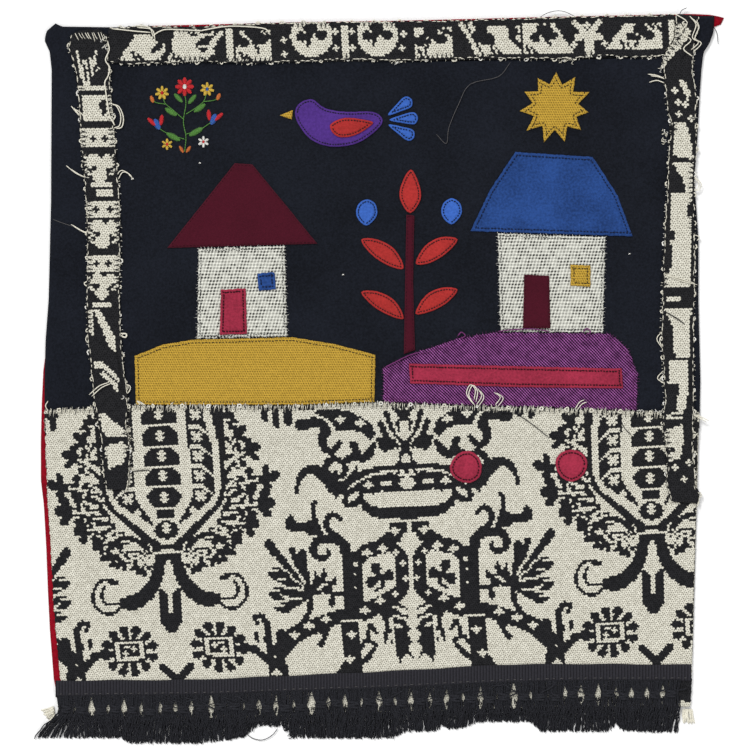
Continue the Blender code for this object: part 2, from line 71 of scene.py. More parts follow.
# Trim along the bottom.
RIB_PITCH = 3.2
RIB_DEPTH = 0.5
FRINGE_LEFT = -258.2
FRINGE_RIGHT = 238.0
KNOT_GROUPS = 37
KNOT_DROP = 6.5
SWAY = 2.6
SWAY_LENGTH = 82.0

BACKING_EDGES = {
    "top": ((-258, 276.4), (-186, 282), (-66, 285), (14, 286.2), (142, 289.4), (246, 291.6), (263.6, 290.8),
            (273.2, 288.4)),
    "bottom": ((-260.4, -252.4), (-146, -262), (14, -257.2), (142, -252.4), (242.8, -250.8)),
    "left": ((-258, 276.4), (-261.2, 222.8), (-262.8, 94.8), (-266, 46.8), (-268.4, 26.8), (-271.2, 6.8),
             (-272.4, -17.2), (-273.2, -49.2), (-273.2, -81.2), (-270.8, -101.2), (-268.8, -137.2),
             (-267.6, -169.2), (-266, -201.2), (-262.8, -241.2), (-260.4, -252.4)),
    "right": ((273.2, 288.4), (271.6, 283.6), (263.6, 280.4), (257.2, 266), (252.4, 246.8), (250, 206.8),
              (246.8, 158.8), (249.2, 94.8), (250.8, -17.2), (247.6, -81.2), (245.2, -177.2),
              (242.8, -250.8)),
}
GROUND_EDGES = {
    "top": ((-261.2, 283.6), (-256.4, 281.2), (-226, 280.8), (-186, 280.4), (-66, 283.2), (14, 284.4),
            (142, 287.6), (246, 290), (265.2, 289.6)),
    "bottom": ((-270, GROUND_END), (253.2, GROUND_END)),
    "left": ((-261.2, 283.6), (-268.4, 277.2), (-270, 270), (-266, 261.2), (-264.4, 246.8), (-264.8, 142.8),
             (-266, 94.8), (-266.8, 62.8), (-269.2, 30.8), (-270, -1.2), (-270, GROUND_END)),
    "right": ((265.2, 289.6), (264.4, 276.4), (261.2, 267.6), (256.4, 260.4), (254.8, 246.8),
              (253.2, 222.8), (251.6, 190.8), (249.2, 158.8), (252.4, 110.8), (252.4, 62.8), (254, -1.2),
              (253.2, GROUND_END)),
}
PANEL_EDGES = {
    "top": ((-270, -26), (-242, -24.4), (-202, -22), (-66, -22), (-6, -19.6), (62, -22), (142, -24.4),
            (206, -26.8), (253.2, -29.2)),
    "bottom": ((-259.6, -268.4), (-146, -271.6), (14, -266), (142, -262), (246, -262)),
    "left": ((-270, -26), (-269.2, -49.2), (-267.6, -97.2), (-265.2, -129.2), (-262.8, -177.2),
             (-259.6, -217.2), (-257.2, -241.2), (-259.6, -268.4)),
    "right": ((253.2, -29.2), (251.6, -49.2), (250.8, -97.2), (249.2, -145.2), (247.6, -209.2),
              (246.8, -241.2), (246, -262)),
}
STRIP_LEFT_EDGES = {
    "top": ((-247.6, 274.8), (-240, 278), (-226, 278.8), (-219.6, 274)),
    "bottom": ((-220.4, -88.4), (-204.4, -88.8)),
    "left": ((-247.6, 274.8), (-250.8, 264.4), (-248.4, 257.2), (-245.2, 245.2), (-242.8, 230.8),
             (-242, 213.2), (-239.6, 174.8), (-236.4, 142.8), (-235.6, 102.8), (-236.4, 62.8),
             (-234.8, 26.8), (-231.6, -1.2), (-229.2, -20.4), (-227.6, -35.6), (-224, -50.8),
             (-223.6, -68.4), (-220.4, -88.4)),
    "right": ((-219.6, 274), (-218.8, 253.2), (-217.2, 230.8), (-215.6, 214.8), (-212.4, 174.8),
              (-210, 142.8), (-209.2, 102.8), (-210, 62.8), (-208.4, 26.8), (-205.2, -1.2),
              (-202.8, -21.2), (-204.4, -37.2), (-202.8, -49.2), (-201.2, -73.2), (-204.4, -88.8)),
}
STRIP_TOP_EDGES = {
    "top": ((-218.8, 279.6), (-194, 281.2), (-150, 280.6), (-106, 283), (-66, 284.2), (14, 285),
            (62, 285.8), (142, 288.2), (206, 289.6), (233.2, 290.4)),
    "bottom": ((-218, 252.6), (-202, 250.8), (-170, 252), (-146, 252.8), (-106, 251.6), (-66, 253.2),
               (-26, 254.6), (14, 253.6), (78, 255.6), (142, 255), (182, 257.6), (206, 256),
               (223.2, 257.6)),
    "left": ((-218.8, 279.6), (-218, 252.6)),
    "right": ((233.2, 290.4), (232.4, 270.9), (223.2, 257.6)),
}
STRIP_RIGHT_EDGES = {
    "top": ((234, 290.8), (252, 289.6)),
    "bottom": ((230, -98), (251.6, -99.6)),
    "left": ((234, 290.8), (233.2, 270.6), (224.2, 257.2), (224.4, 244.4), (227.6, 215.6), (230.8, 200.4),
             (228.4, 182.8), (226.8, 142.8), (224.4, 102.8), (222.8, 38.8), (225.2, -17.2), (222.8, -33.2),
             (226, -54), (227.6, -70), (226, -79.6), (230, -98)),
    "right": ((252, 289.6), (251.6, 278.8), (248.4, 266.8), (247.6, 242.8), (250.8, 225.2), (250, 210.8),
              (250.8, 182.8), (248.4, 158.8), (249.2, 102.8), (248.4, 38.8), (248.4, -17.2), (247.6, -41.2),
              (247.6, -58), (249.2, -74), (249.2, -85.2), (253.2, -91.6), (251.6, -99.6)),
}
TAPE_TOP = ((-261, -241.2), (-146, -240.4), (14, -233.2), (94, -228.4), (150, -227.8), (246.4, -228.4))
TAPE_BOTTOM = ((-258.8, -254.6), (-146, -253.2), (14, -247.6), (94, -243.6), (150, -242), (246.6, -241.6))
FRINGE_TIPS = ((-258, -287.4), (-210, -287.6), (-202, -291.4), (-146, -291.6), (-110, -287), (-98, -277.6),
               (-80, -278), (-74, -287.4), (6, -287.6), (16, -282.4), (44, -281.6), (48, -276.4),
               (56, -280.6), (70, -278), (78, -274.4), (118, -274.6), (126, -282), (178, -282.2),
               (184, -275.6), (190, -281.4), (238, -283))
TUFTS = {
    "tuft_left": ((-262.8, -262.4), (-261.7, -270.4), (-272.6, -266.4), (-265.2, -276.2)),
    "tuft_right": ((240.0, -264.4), (247.2, -264.2), (240.2, -275.2), (248.6, -276.4)),
}

# The picture's shapes: the cloth of each and its corners, cut with straight sides or round.
FLAT_SHAPES = {
    "field": ("felt_mustard", ((-197, -21.3), (-66, -21.3), (-6.4, -18.9), (-5.6, 19), (-38, 27.5),
                               (-72, 33), (-152, 31), (-176, 27), (-198, 18))),
    "hill": ("twill_purple", ((0.6, -19), (62, -21.3), (142, -23.7), (203, -26), (204, 4), (196, 24),
                              (182, 36), (88, 37), (60, 32), (30, 22), (0.2, 8))),
    "wall_left": ("scrim_cream", ((-148, 31.9), (-76, 33.6), (-78, 106), (-147, 104))),
    "roof_left": ("felt_maroon", ((-172, 104.2), (-52, 107.6), (-80, 142), (-104, 171), (-118, 172),
                                  (-141, 143))),
    "wall_right": ("scrim_cream", ((94, 37.6), (176, 36.7), (178, 113), (92, 116))),
    "roof_right": ("cloth_blue", ((70, 117.6), (200, 113.4), (188, 146), (168, 177), (106, 181),
                                  (86, 151))),
    "stem": ("felt_maroon", ((17, 19.4), (26, 22.6), (24.5, 76), (25.5, 130), (19, 131), (18, 77))),
    "beak": ("felt_mustard", ((-71.6, 214.4), (-82, 210.2), (-72.4, 206.6))),
}
ROUND_SHAPES = {
    "leaf_top": ("felt_orange_red", ((22, 132), (30.5, 143), (29, 156), (22.5, 167), (15, 155), (14, 143))),
    "leaf_left_low": ("felt_orange_red", ((17, 48), (6, 50), (-8, 58), (-17, 69), (-4, 69.5), (10, 62))),
    "leaf_left_high": ("felt_orange_red", ((17, 88), (5, 90), (-9, 99), (-17, 111), (-4, 111), (10, 103))),
    "leaf_right_low": ("felt_orange_red", ((26.3, 52), (37, 53), (51, 60), (60, 71), (47, 72.5), (34, 66))),
    "leaf_right_high": ("felt_orange_red",
                        ((26.4, 92), (37, 92), (51, 100), (60, 111), (47, 113), (34, 106))),
    "fruit_left": ("felt_bright_blue", ((-13, 122), (-4.5, 130), (-6, 140), (-13.5, 143), (-20, 138),
                                        (-20.5, 129))),
    "fruit_right": ("felt_bright_blue", ((55, 123), (63, 131), (62, 140), (55, 144), (48, 139),
                                         (47.5, 130))),
    "bird_body": ("felt_purple", ((-70, 212), (-66, 220), (-56, 223), (-46, 216), (-30, 213), (-8, 213),
                                  (0, 207), (-4, 199), (-20, 188), (-40, 185), (-56, 190), (-66, 201))),
}
DETAIL_SHAPES = {
    "path": ("cloth_pink_red", ((22, -4), (106, -7), (192, -8), (191, 8), (104, 10), (21, 12))),
    "door_left": ("cloth_pink_red", ((-130, 34.8), (-108, 35.4), (-109, 72), (-129, 71))),
    "window_left": ("cloth_blue", ((-99, 70), (-85, 71), (-86, 85), (-100, 84))),
    "door_right": ("felt_maroon", ((112, 40), (134, 40), (133, 82), (113, 83))),
    "window_right": ("felt_mustard", ((150, 74), (166, 73), (166, 90), (150, 91))),
    "bird_wing": ("felt_orange_red", ((-42, 202), (-30, 208), (-12, 206), (-8, 203), (-22, 194),
                                      (-36, 193))),
}
ROUND_DETAILS = ("bird_wing",)
TAIL_ROOT = (-2.0, 206.0)
TAIL_ANGLES = {"tail_low": -26, "tail_middle": 4, "tail_high": 34}
TAIL_START = 7.5
TAIL_LENGTH = 23.0
TAIL_WIDTH = 10.0
SUN_CENTRE = (138.0, 217.0)
SUN_RAYS = 11
SUN_INNER = 18.5
SUN_OUTER = 28.5
DOT_RADIUS = 12.8
DOTS = {"dot_left": (66.8, -70.8), "dot_right": (150.8, -69.2)}

# The figured cloth: its weave cells, and the leaning lines of its repeat.
CELL = 1.76
STRIP_CELL = 1.88
UNITS_A_CELL = 2.2
HALF_REPEAT = 110
AXIS = HALF_REPEAT * UNITS_A_CELL
CHART_ROWS = 154
FIRST_ROW_Y = -20.4
ROW_TILT = 0.04
LEVEL_X = -172.0
SIDE_TOOTH = 0.26
END_TOOTH = 0.16
AXIS_Y = (-237.2, -197.2, -121.2, -29.2)
LEFT_AXIS_X = (-163.6, -168.4, -172.4, -178.8)
RIGHT_AXIS_X = (218.8, 216.4, 214.8, 211.6)
THREAD_RISE = 0.28
# A dark thread's rise as a share of a cream one's, how deep the cells' corners lie, the cloth's soft waves,
# and the smallest cell at a cut edge, as a share of a whole one.
DARK_RISE = 0.3
CORNER_SINK = 0.2
WAVE_RISE = 0.10
WAVE_LENGTH = 47.0
SMALLEST_CELL = 0.12
# Width of the cream veins, in the chart's units.
VEIN = 3.1


# Heights of the cloths

def ease(share):
    share = np.clip(share, 0.0, 1.0)
    return share * share * (3.0 - 2.0 * share)


def mix(a, b, share):
    return a + (b - a) * share


def ripple(x, y):
    side = ease((abs(x) - FIELD_HALF_WIDTH) / MARGIN_RAMP)
    below = ease((RIPPLE_TOP - y) / MARGIN_RAMP)
    above_trim = 1.0 - ease((RIPPLE_BOTTOM - y) / 30.0)
    wave = 0.5 + 0.5 * np.sin(y / 27.0 + x / 60.0)
    return RIPPLE * np.maximum(side, below) * above_trim * wave


def ground_rest(x, y):
    return BACKING + GAP + ripple(x, y)


def panel_rest(x, y):
    over_ground = 1.0 - ease((GROUND_END - STEP_CLEARANCE - y) / STEP_LENGTH)
    return ground_rest(x, y) + (GROUND + GAP) * over_ground


def strip_rest(x, y):
    on_ground = ground_rest(x, y) + GROUND + GAP
    on_panel = panel_rest(x, y) + FIGURED + GAP
    return mix(on_ground, on_panel, ease((PANEL_SEAM + STEP_CLEARANCE + STRIP_RISE - y) / STRIP_RISE))


def panel_top(x, y):
    return panel_rest(x, y) + FIGURED


def strip_top(x, y):
    return strip_rest(x, y) + FIGURED


def uneven(x, y, size, seed=0.0):
    """A smooth wave between -1 and 1 without a visible repeat, about size mm long."""
    turn = 2 * math.pi / size
    return (np.sin(turn * (x + 0.37 * y) + seed) + np.sin(turn * (0.73 * y - 0.41 * x) * 1.31 + 2.1 * seed)
            + np.sin(turn * (0.61 * x + 0.83 * y) * 0.71 + 3.7 * seed)) / 3


def line_at(line, x):
    """The y of a line from left to right, at x."""
    return np.interp(x, [p[0] for p in line], [p[1] for p in line])


def side_at(line, y):
    """The x of a line from top to bottom, at y."""
    return np.interp(-np.asarray(y, float), [-p[1] for p in line], [p[0] for p in line])


# Materials

RIB_SPACING = 0.75 * RIB_PITCH


class Shader:
    """A material built node by node."""

    def __init__(self, name, colour, roughness, sheen):
        self.material = bpy.data.materials.new(name)
        self.material.use_nodes = True
        self.tree = self.material.node_tree
        self.principled = self.tree.nodes["Principled BSDF"]
        self.principled.inputs["Base Color"].default_value = (*colour, 1.0)
        self.principled.inputs["Roughness"].default_value = roughness
        self.principled.inputs["Specular IOR Level"].default_value = 0.1
        self.principled.inputs["Sheen Weight"].default_value = sheen
        self.principled.inputs["Sheen Roughness"].default_value = 0.5
        self.material.diffuse_color = (*colour, 1.0)
        self.place = self.add("ShaderNodeTexCoord").outputs["Object"]

    def add(self, kind, inputs=(), **settings):
        node = self.tree.nodes.new(kind)
        for name, value in settings.items():
            setattr(node, name, value)
        for socket, value in dict(inputs).items():
            if isinstance(value, bpy.types.NodeSocket):
                self.tree.links.new(value, node.inputs[socket])
            else:
                node.inputs[socket].default_value = value
        return node

    def maths(self, operation, *values):
        return self.add("ShaderNodeMath", dict(enumerate(values)), operation=operation).outputs[0]

    def hypotenuse(self, first, second):
        squares = [self.maths("MULTIPLY", value, value) for value in (first, second)]
        return self.maths("SQRT", self.maths("ADD", *squares))

    def noise(self, size, detail):
        """Noise with features of about size mm."""
        values = {"Vector": self.place, "Scale": 1000.0 / size, "Detail": detail}
        return self.add("ShaderNodeTexNoise", values).outputs["Fac"]

    def ramp(self, value, low, high):
        """0 where value is low and 1 where it is high."""
        values = {"Value": value, "From Min": low, "From Max": high}
        return self.add("ShaderNodeMapRange", values, clamp=True).outputs["Result"]

    def blend(self, share, a, b):
        node = self.tree.nodes.new("ShaderNodeMix")
        node.data_type = "RGBA"
        for socket, value in ((node.inputs[0], share), (node.inputs[6], a), (node.inputs[7], b)):
            if isinstance(value, bpy.types.NodeSocket):
                self.tree.links.new(value, socket)
            else:
                socket.default_value = value if socket is node.inputs[0] else (*value, 1.0)
        return node.outputs[2]

    def paint(self, colour):
        self.tree.links.new(colour, self.principled.inputs["Base Color"])

    def bump(self, height, distance):
        """Relief of about distance mm."""
        node = self.add("ShaderNodeBump",
                        {"Height": height, "Distance": distance * MILLIMETRE, "Strength": 1.0})
        self.tree.links.new(node.outputs["Normal"], self.principled.inputs["Normal"])


def shade(colour, share):
    return tuple(value * share for value in colour)


def between(a, b, share):
    return tuple(mix(one, other, share) for one, other in zip(a, b))


def felt_material(name, colour, contrast=0.3, fibre=2.0, patch=26.0, sheen=0.06, relief=0.6):
    """Pressed or milled wool: fine fibres, and soft patches where the nap lies another way."""
    shader = Shader(name, colour, 0.95, sheen)
    fibres = shader.noise(fibre, 4.0)
    patches = shader.noise(patch, 2.0)
    tone = shader.maths("ADD", shader.maths("MULTIPLY", fibres, 0.6),
                        shader.maths("MULTIPLY", patches, 0.4))
    share = shader.ramp(tone, 0.36, 0.64)
    shader.paint(shader.blend(share, shade(colour, 1 - contrast), shade(colour, 1 + contrast)))
    shader.bump(fibres, relief)
    return shader.material


def weave_material(name, colour, gap_colour, pitch, slant, gap):
    """A plain weave in its own plane: threads both ways with a pinhole between each four."""
    shader = Shader(name, colour, 0.92, 0.04)
    drift = shader.maths("MULTIPLY", shader.noise(9.0, 1.0), 0.25)
    parts = shader.add("ShaderNodeSeparateXYZ", {0: shader.place})
    across = shader.maths("MULTIPLY", parts.outputs[0], 1000.0 / pitch)
    along = shader.maths("MULTIPLY", parts.outputs[1], 1000.0 / pitch)
    leaning = shader.maths("ADD", across, shader.maths("MULTIPLY", along, slant))
    first = shader.maths("PINGPONG", shader.maths("ADD", leaning, drift), 0.5)
    second = shader.maths("PINGPONG", shader.maths("ADD", along, drift), 0.5)
    span = shader.hypotenuse(first, second)
    thread = shader.ramp(span, gap * 0.6, gap * 1.9)
    mottle = shader.ramp(shader.noise(1.4, 3.0), 0.35, 0.65)
    cloth = shader.blend(mottle, shade(colour, 0.84), shade(colour, 1.1))
    openness = shader.ramp(shader.noise(2.0 * pitch, 1.0), 0.4, 0.58)
    hole = shader.blend(openness, between(gap_colour, colour, 0.4), gap_colour)
    shader.paint(shader.blend(thread, hole, cloth))
    shader.bump(shader.maths("ADD", thread, shader.maths("MULTIPLY", mottle, 0.25)), 0.5)
    return shader.material


def twill_material(name, dark, light, pitch):
    """Diagonal lines of two colours, broken up by the threads that cross them."""
    shader = Shader(name, dark, 0.95, 0.04)
    parts = shader.add("ShaderNodeSeparateXYZ", {0: shader.place})
    drift = shader.maths("MULTIPLY", shader.noise(14.0, 2.0), 0.8)
    across = shader.maths("MULTIPLY", parts.outputs[0], 1000.0 / pitch)
    along = shader.maths("MULTIPLY", parts.outputs[1], 1000.0 / pitch)
    diagonal = shader.maths("ADD", shader.maths("ADD", across, along), drift)
    line = shader.maths("PINGPONG", diagonal, 0.5)
    cross = shader.maths("PINGPONG", shader.maths("SUBTRACT", across, along), 0.5)
    lines = shader.ramp(shader.maths("SUBTRACT", line, shader.maths("MULTIPLY", cross, 0.35)), 0.08, 0.3)
    patches = shader.ramp(shader.noise(5.0, 3.0), 0.3, 0.7)
    lines = shader.maths("MULTIPLY", lines,
                         shader.maths("ADD", shader.maths("MULTIPLY", patches, 0.7), 0.35))
    shader.paint(shader.blend(lines, dark, light))
    shader.bump(lines, 0.45)
    return shader.material


def ribbed_material(name, colour, pitch):
    """Ribs across a tape, with painted shade in their grooves and painted light on their ridges."""
    shader = Shader(name, colour, 0.95, 0.02)
    parts = shader.add("ShaderNodeSeparateXYZ", {0: shader.place})
    across = shader.maths("ADD", shader.maths("MULTIPLY", parts.outputs[0], 1000.0 / pitch), 0.5)
    # The rib profile drives the painted shade in the grooves, the painted light on the ridges, and the
    # bump.
    rib_shade_and_relief = shader.ramp(shader.maths("PINGPONG", across, 0.5), 0.05, 0.4)
    fibres = shader.ramp(shader.noise(1.1, 3.0), 0.35, 0.65)
    tone = shader.maths("ADD", shader.maths("MULTIPLY", rib_shade_and_relief, 0.7), shader.maths("MULTIPLY", fibres, 0.3))
    # Colour runs from painted shade in the grooves to painted light on the ridges, mixed with random fibre
    # tone.
    shader.paint(shader.blend(tone, shade(colour, 0.4), shade(colour, 1.5)))
    shader.bump(tone, 0.3)
    return shader.material


def figured_material(name, colour, low, gap_colour, gap):
    """The figured cloth in its own grain: each cell is a plump crossing with pinholes at its corners."""
    shader = Shader(name, colour, 0.95, 0.03)
    grain = shader.add("ShaderNodeAttribute", attribute_name="grain").outputs["Vector"]
    parts = shader.add("ShaderNodeSeparateXYZ", {0: grain})
    first = shader.maths("PINGPONG", parts.outputs[0], 0.5)
    second = shader.maths("PINGPONG", parts.outputs[1], 0.5)
    span = shader.hypotenuse(first, second)
    thread = shader.ramp(span, gap * 0.5, gap * 1.6)
    mottle = shader.ramp(shader.noise(2.3, 3.0), 0.3, 0.7)
    cloth = shader.blend(mottle, low, colour)
    shader.paint(shader.blend(thread, gap_colour, cloth))
    shader.bump(shader.maths("ADD", shader.maths("MULTIPLY", thread, 0.6),
                             shader.maths("MULTIPLY", mottle, 0.3)), 0.4)
    return shader.material


def yarn_material(name, colour, sheen=0.04, contrast=0.25):
    shader = Shader(name, colour, 0.85, sheen)
    fibres = shader.ramp(shader.noise(0.7, 3.0), 0.35, 0.65)
    shader.paint(shader.blend(fibres, shade(colour, 1 - contrast), shade(colour, 1 + contrast)))
    shader.bump(fibres, 0.2)
    return shader.material


CLOTHS = {
    "backing_red": felt_material("backing_red_cloth", (0.232, 0.0020, 0.0100), 0.3, 1.6, 26.0, 0.0),
    "ground_black": felt_material("ground_wool", (0.0066, 0.0080, 0.0125), 0.4, 1.6, 60.0, 0.02, 0.4),
    "felt_mustard": weave_material("mustard_wool", (0.480, 0.300, 0.040), (0.200, 0.120, 0.014), 1.9, 0.5,
                                   0.2),
    "twill_purple": twill_material("purple_twill", (0.0075, 0.0002, 0.0085), (0.370, 0.105, 0.365), 2.5),
    "cloth_pink_red": felt_material("pink_red_cloth", (0.275, 0.0215, 0.048), 0.25, 1.8, 18.0),
    "felt_maroon": felt_material("maroon_felt", (0.054, 0.0040, 0.0118), 0.14, 1.4, 30.0),
    "cloth_blue": felt_material("blue_wool", (0.0155, 0.049, 0.182), 0.34, 1.9, 24.0),
    "scrim_cream": weave_material("cream_scrim", (0.760, 0.760, 0.680), (0.006, 0.006, 0.006), 2.6, -0.28,
                                  0.3),
    "felt_purple": felt_material("purple_felt", (0.066, 0.025, 0.190), 0.2),
    "felt_orange_red": felt_material("orange_red_felt", (0.330, 0.024, 0.022), 0.2),
    "felt_bright_blue": felt_material("bright_blue_felt", (0.035, 0.105, 0.400), 0.2),
    "tape_black": ribbed_material("tape_cloth", (0.0205, 0.0200, 0.0245), RIB_SPACING),
}
FIGURED_CREAM = figured_material("figured_cream", (0.740, 0.720, 0.620), (0.500, 0.480, 0.400),
                                 (0.110, 0.100, 0.080), 0.23)
FIGURED_DARK = figured_material("figured_dark", (0.0195, 0.0195, 0.0215), (0.0090, 0.0092, 0.0105),
                                (0.002, 0.002, 0.002), 0.2)
THREADS = {
    "cream": yarn_material("cream_thread", (0.740, 0.710, 0.600)),
    "black": yarn_material("black_thread", (0.0100, 0.0105, 0.0140)),
    "fringe": yarn_material("fringe_yarn", (0.0185, 0.0190, 0.0235), 0.02, 0.6),
    "grey": yarn_material("grey_thread", (0.100, 0.095, 0.095)),
    "wine": yarn_material("wine_thread", (0.028, 0.0035, 0.0075)),
    "navy": yarn_material("navy_thread", (0.006, 0.012, 0.040)),
    "plum": yarn_material("plum_thread", (0.150, 0.030, 0.130)),
    "red": yarn_material("red_thread", (0.520, 0.020, 0.026), 0.1),
    "orange": yarn_material("orange_thread", (0.560, 0.150, 0.035), 0.1),
    "yellow": yarn_material("yellow_thread", (0.640, 0.430, 0.060), 0.1),
    "blue": yarn_material("blue_thread", (0.035, 0.110, 0.400), 0.1),
    "green": yarn_material("green_thread", (0.085, 0.230, 0.045), 0.1),
    "white": yarn_material("white_thread", (0.800, 0.790, 0.740), 0.05),
}


# Meshes

def finish_piece(name, mesh, slot, nodes=()):
    """Places the mesh in the scene as a piece of the textile."""
    mesh.name = name
    piece = bpy.data.objects.new(name, mesh)
    bpy.context.collection.objects.link(piece)
    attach(piece, "root")
    if nodes:
        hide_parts(*nodes)
    return piece


def cloth_piece(name, points, faces, looks, materials, underside, slot, nodes=(), grain=None):
    """A closed cloth from the faces of its upper side: its rim goes down to underside(x, y).

    A woven cloth, with its grain, has a toothed rim, and its underside is one face inside that rim.
    """
    shape = bmesh.new()
    grain_layer = shape.verts.layers.float_vector.new("grain")
    corners = []
    for index, point in enumerate(points):
        corner = shape.verts.new([value * MILLIMETRE for value in point])
        if grain is not None:
            corner[grain_layer] = (*grain[index], 0.0)
        corners.append(corner)
    for face, look in zip(faces, looks):
        made = shape.faces.new([corners[index] for index in face])
        made.material_index = look
        made.smooth = True
    bmesh.ops.delete(shape, geom=[corner for corner in shape.verts if not corner.link_faces],
                     context="VERTS")
    rim = [edge for edge in shape.edges if edge.is_boundary]
    pushed = bmesh.ops.extrude_edge_only(shape, edges=rim)["geom"]
    for corner in (part for part in pushed if isinstance(part, bmesh.types.BMVert)):
        x, y = corner.co.x / MILLIMETRE, corner.co.y / MILLIMETRE
        corner.co.z = float(underside(x, y)) * MILLIMETRE
    lower = [part for part in pushed if isinstance(part, bmesh.types.BMEdge) and part.is_boundary]
    if grain is None:
        bmesh.ops.triangle_fill(shape, use_beauty=True, edges=lower)
    else:
        bmesh.ops.holes_fill(shape, edges=lower)
    bmesh.ops.recalc_face_normals(shape, faces=shape.faces)
    mesh = bpy.data.meshes.new(name)
    shape.to_mesh(mesh)
    shape.free()
    for material in materials:
        mesh.materials.append(material)
    return finish_piece(name, mesh, slot, nodes)


def grid_faces(wide, high):
    """Quads of a grid of wide by high points, counted row by row."""
    start = (np.arange(high - 1)[:, None] * wide + np.arange(wide - 1)[None, :]).ravel()
    return np.stack([start, start + 1, start + wide + 1, start + wide], axis=1)


class Threads:
    """Yarns and stitches gathered into one mesh."""

    def __init__(self):
        self.points, self.faces, self.looks, self.colours = [], [], [], []

    def colour(self, name):
        if name not in self.colours:
            self.colours.append(name)
        return self.colours.index(name)

    def add(self, line, radius, colour, sides=4, tip=0.45):
        """A yarn along the line of (x, y, z), thinner at its two ends."""
        line = np.asarray(line, float)
        count = len(line)
        along = np.gradient(line, axis=0)
        along /= np.maximum(np.linalg.norm(along, axis=1), 1e-9)[:, None]
        across = np.cross(along, (0.0, 0.0, 1.0))
        length = np.linalg.norm(across, axis=1)[:, None]
        across = np.where(length > 1e-6, across / np.maximum(length, 1e-9), (1.0, 0.0, 0.0))
        upward = np.cross(across, along)
        size = np.full(count, radius)
        size[0] = size[-1] = radius * tip
        start = sum(len(block) for block in self.points)
        turns = 2 * math.pi * (np.arange(sides) + 0.5) / sides
        ring = (across[:, None, :] * np.cos(turns)[None, :, None]
                + upward[:, None, :] * np.sin(turns)[None, :, None])
        self.points.append((line[:, None, :] + ring * size[:, None, None]).reshape(-1, 3))
        look = self.colour(colour)
        for step in range(count - 1):
            for side in range(sides):
                a, b = start + step * sides + side, start + step * sides + (side + 1) % sides
                self.faces.append((a, b, b + sides, a + sides))
        self.faces.append(tuple(start + side for side in reversed(range(sides))))
        self.faces.append(tuple(start + (count - 1) * sides + side for side in range(sides)))
        self.looks.extend([look] * (len(self.faces) - len(self.looks)))

    def curve(self, corners, radius, colour, steps=5, sides=5, over=None, tip=0.6):
        """A loose yarn through the corners; over(x, y) gives what it lies on."""
        line = smooth_line(corners, steps)
        if over is not None:
            line = [(x, y, z + float(over(x, y))) for x, y, z in line]
        self.add(line, radius, colour, sides, tip)

    def make(self, name, slot, nodes=()):
        mesh = bpy.data.meshes.new(name)
        mesh.from_pydata((np.concatenate(self.points) * MILLIMETRE).tolist(), [], self.faces)
        mesh.polygons.foreach_set("material_index", self.looks)
        mesh.polygons.foreach_set("use_smooth", [True] * len(self.faces))
        for colour in self.colours:
            mesh.materials.append(THREADS[colour])
        mesh.update()
        return finish_piece(name, mesh, slot, nodes)


def curve_point(before, start, end, after, t):
    """The point at share t of the soft curve from start to end, with the corners before and after them."""
    return 0.5 * (2 * start + (end - before) * t + (2 * before - 5 * start + 4 * end - after) * t ** 2
                  + (3 * start - before - 3 * end + after) * t ** 3)


def smooth_line(corners, steps):
    """Points along a soft curve through the corners."""
    corners = [np.array(corner, float) for corner in corners]
    padded = [2 * corners[0] - corners[1]] + corners + [2 * corners[-1] - corners[-2]]
    line = []
    for before, start, end, after in zip(padded, padded[1:], padded[2:], padded[3:]):
        line += [curve_point(before, start, end, after, step / steps) for step in range(steps)]
    return np.array(line + [corners[-1]])


# Charts of the figured cloth

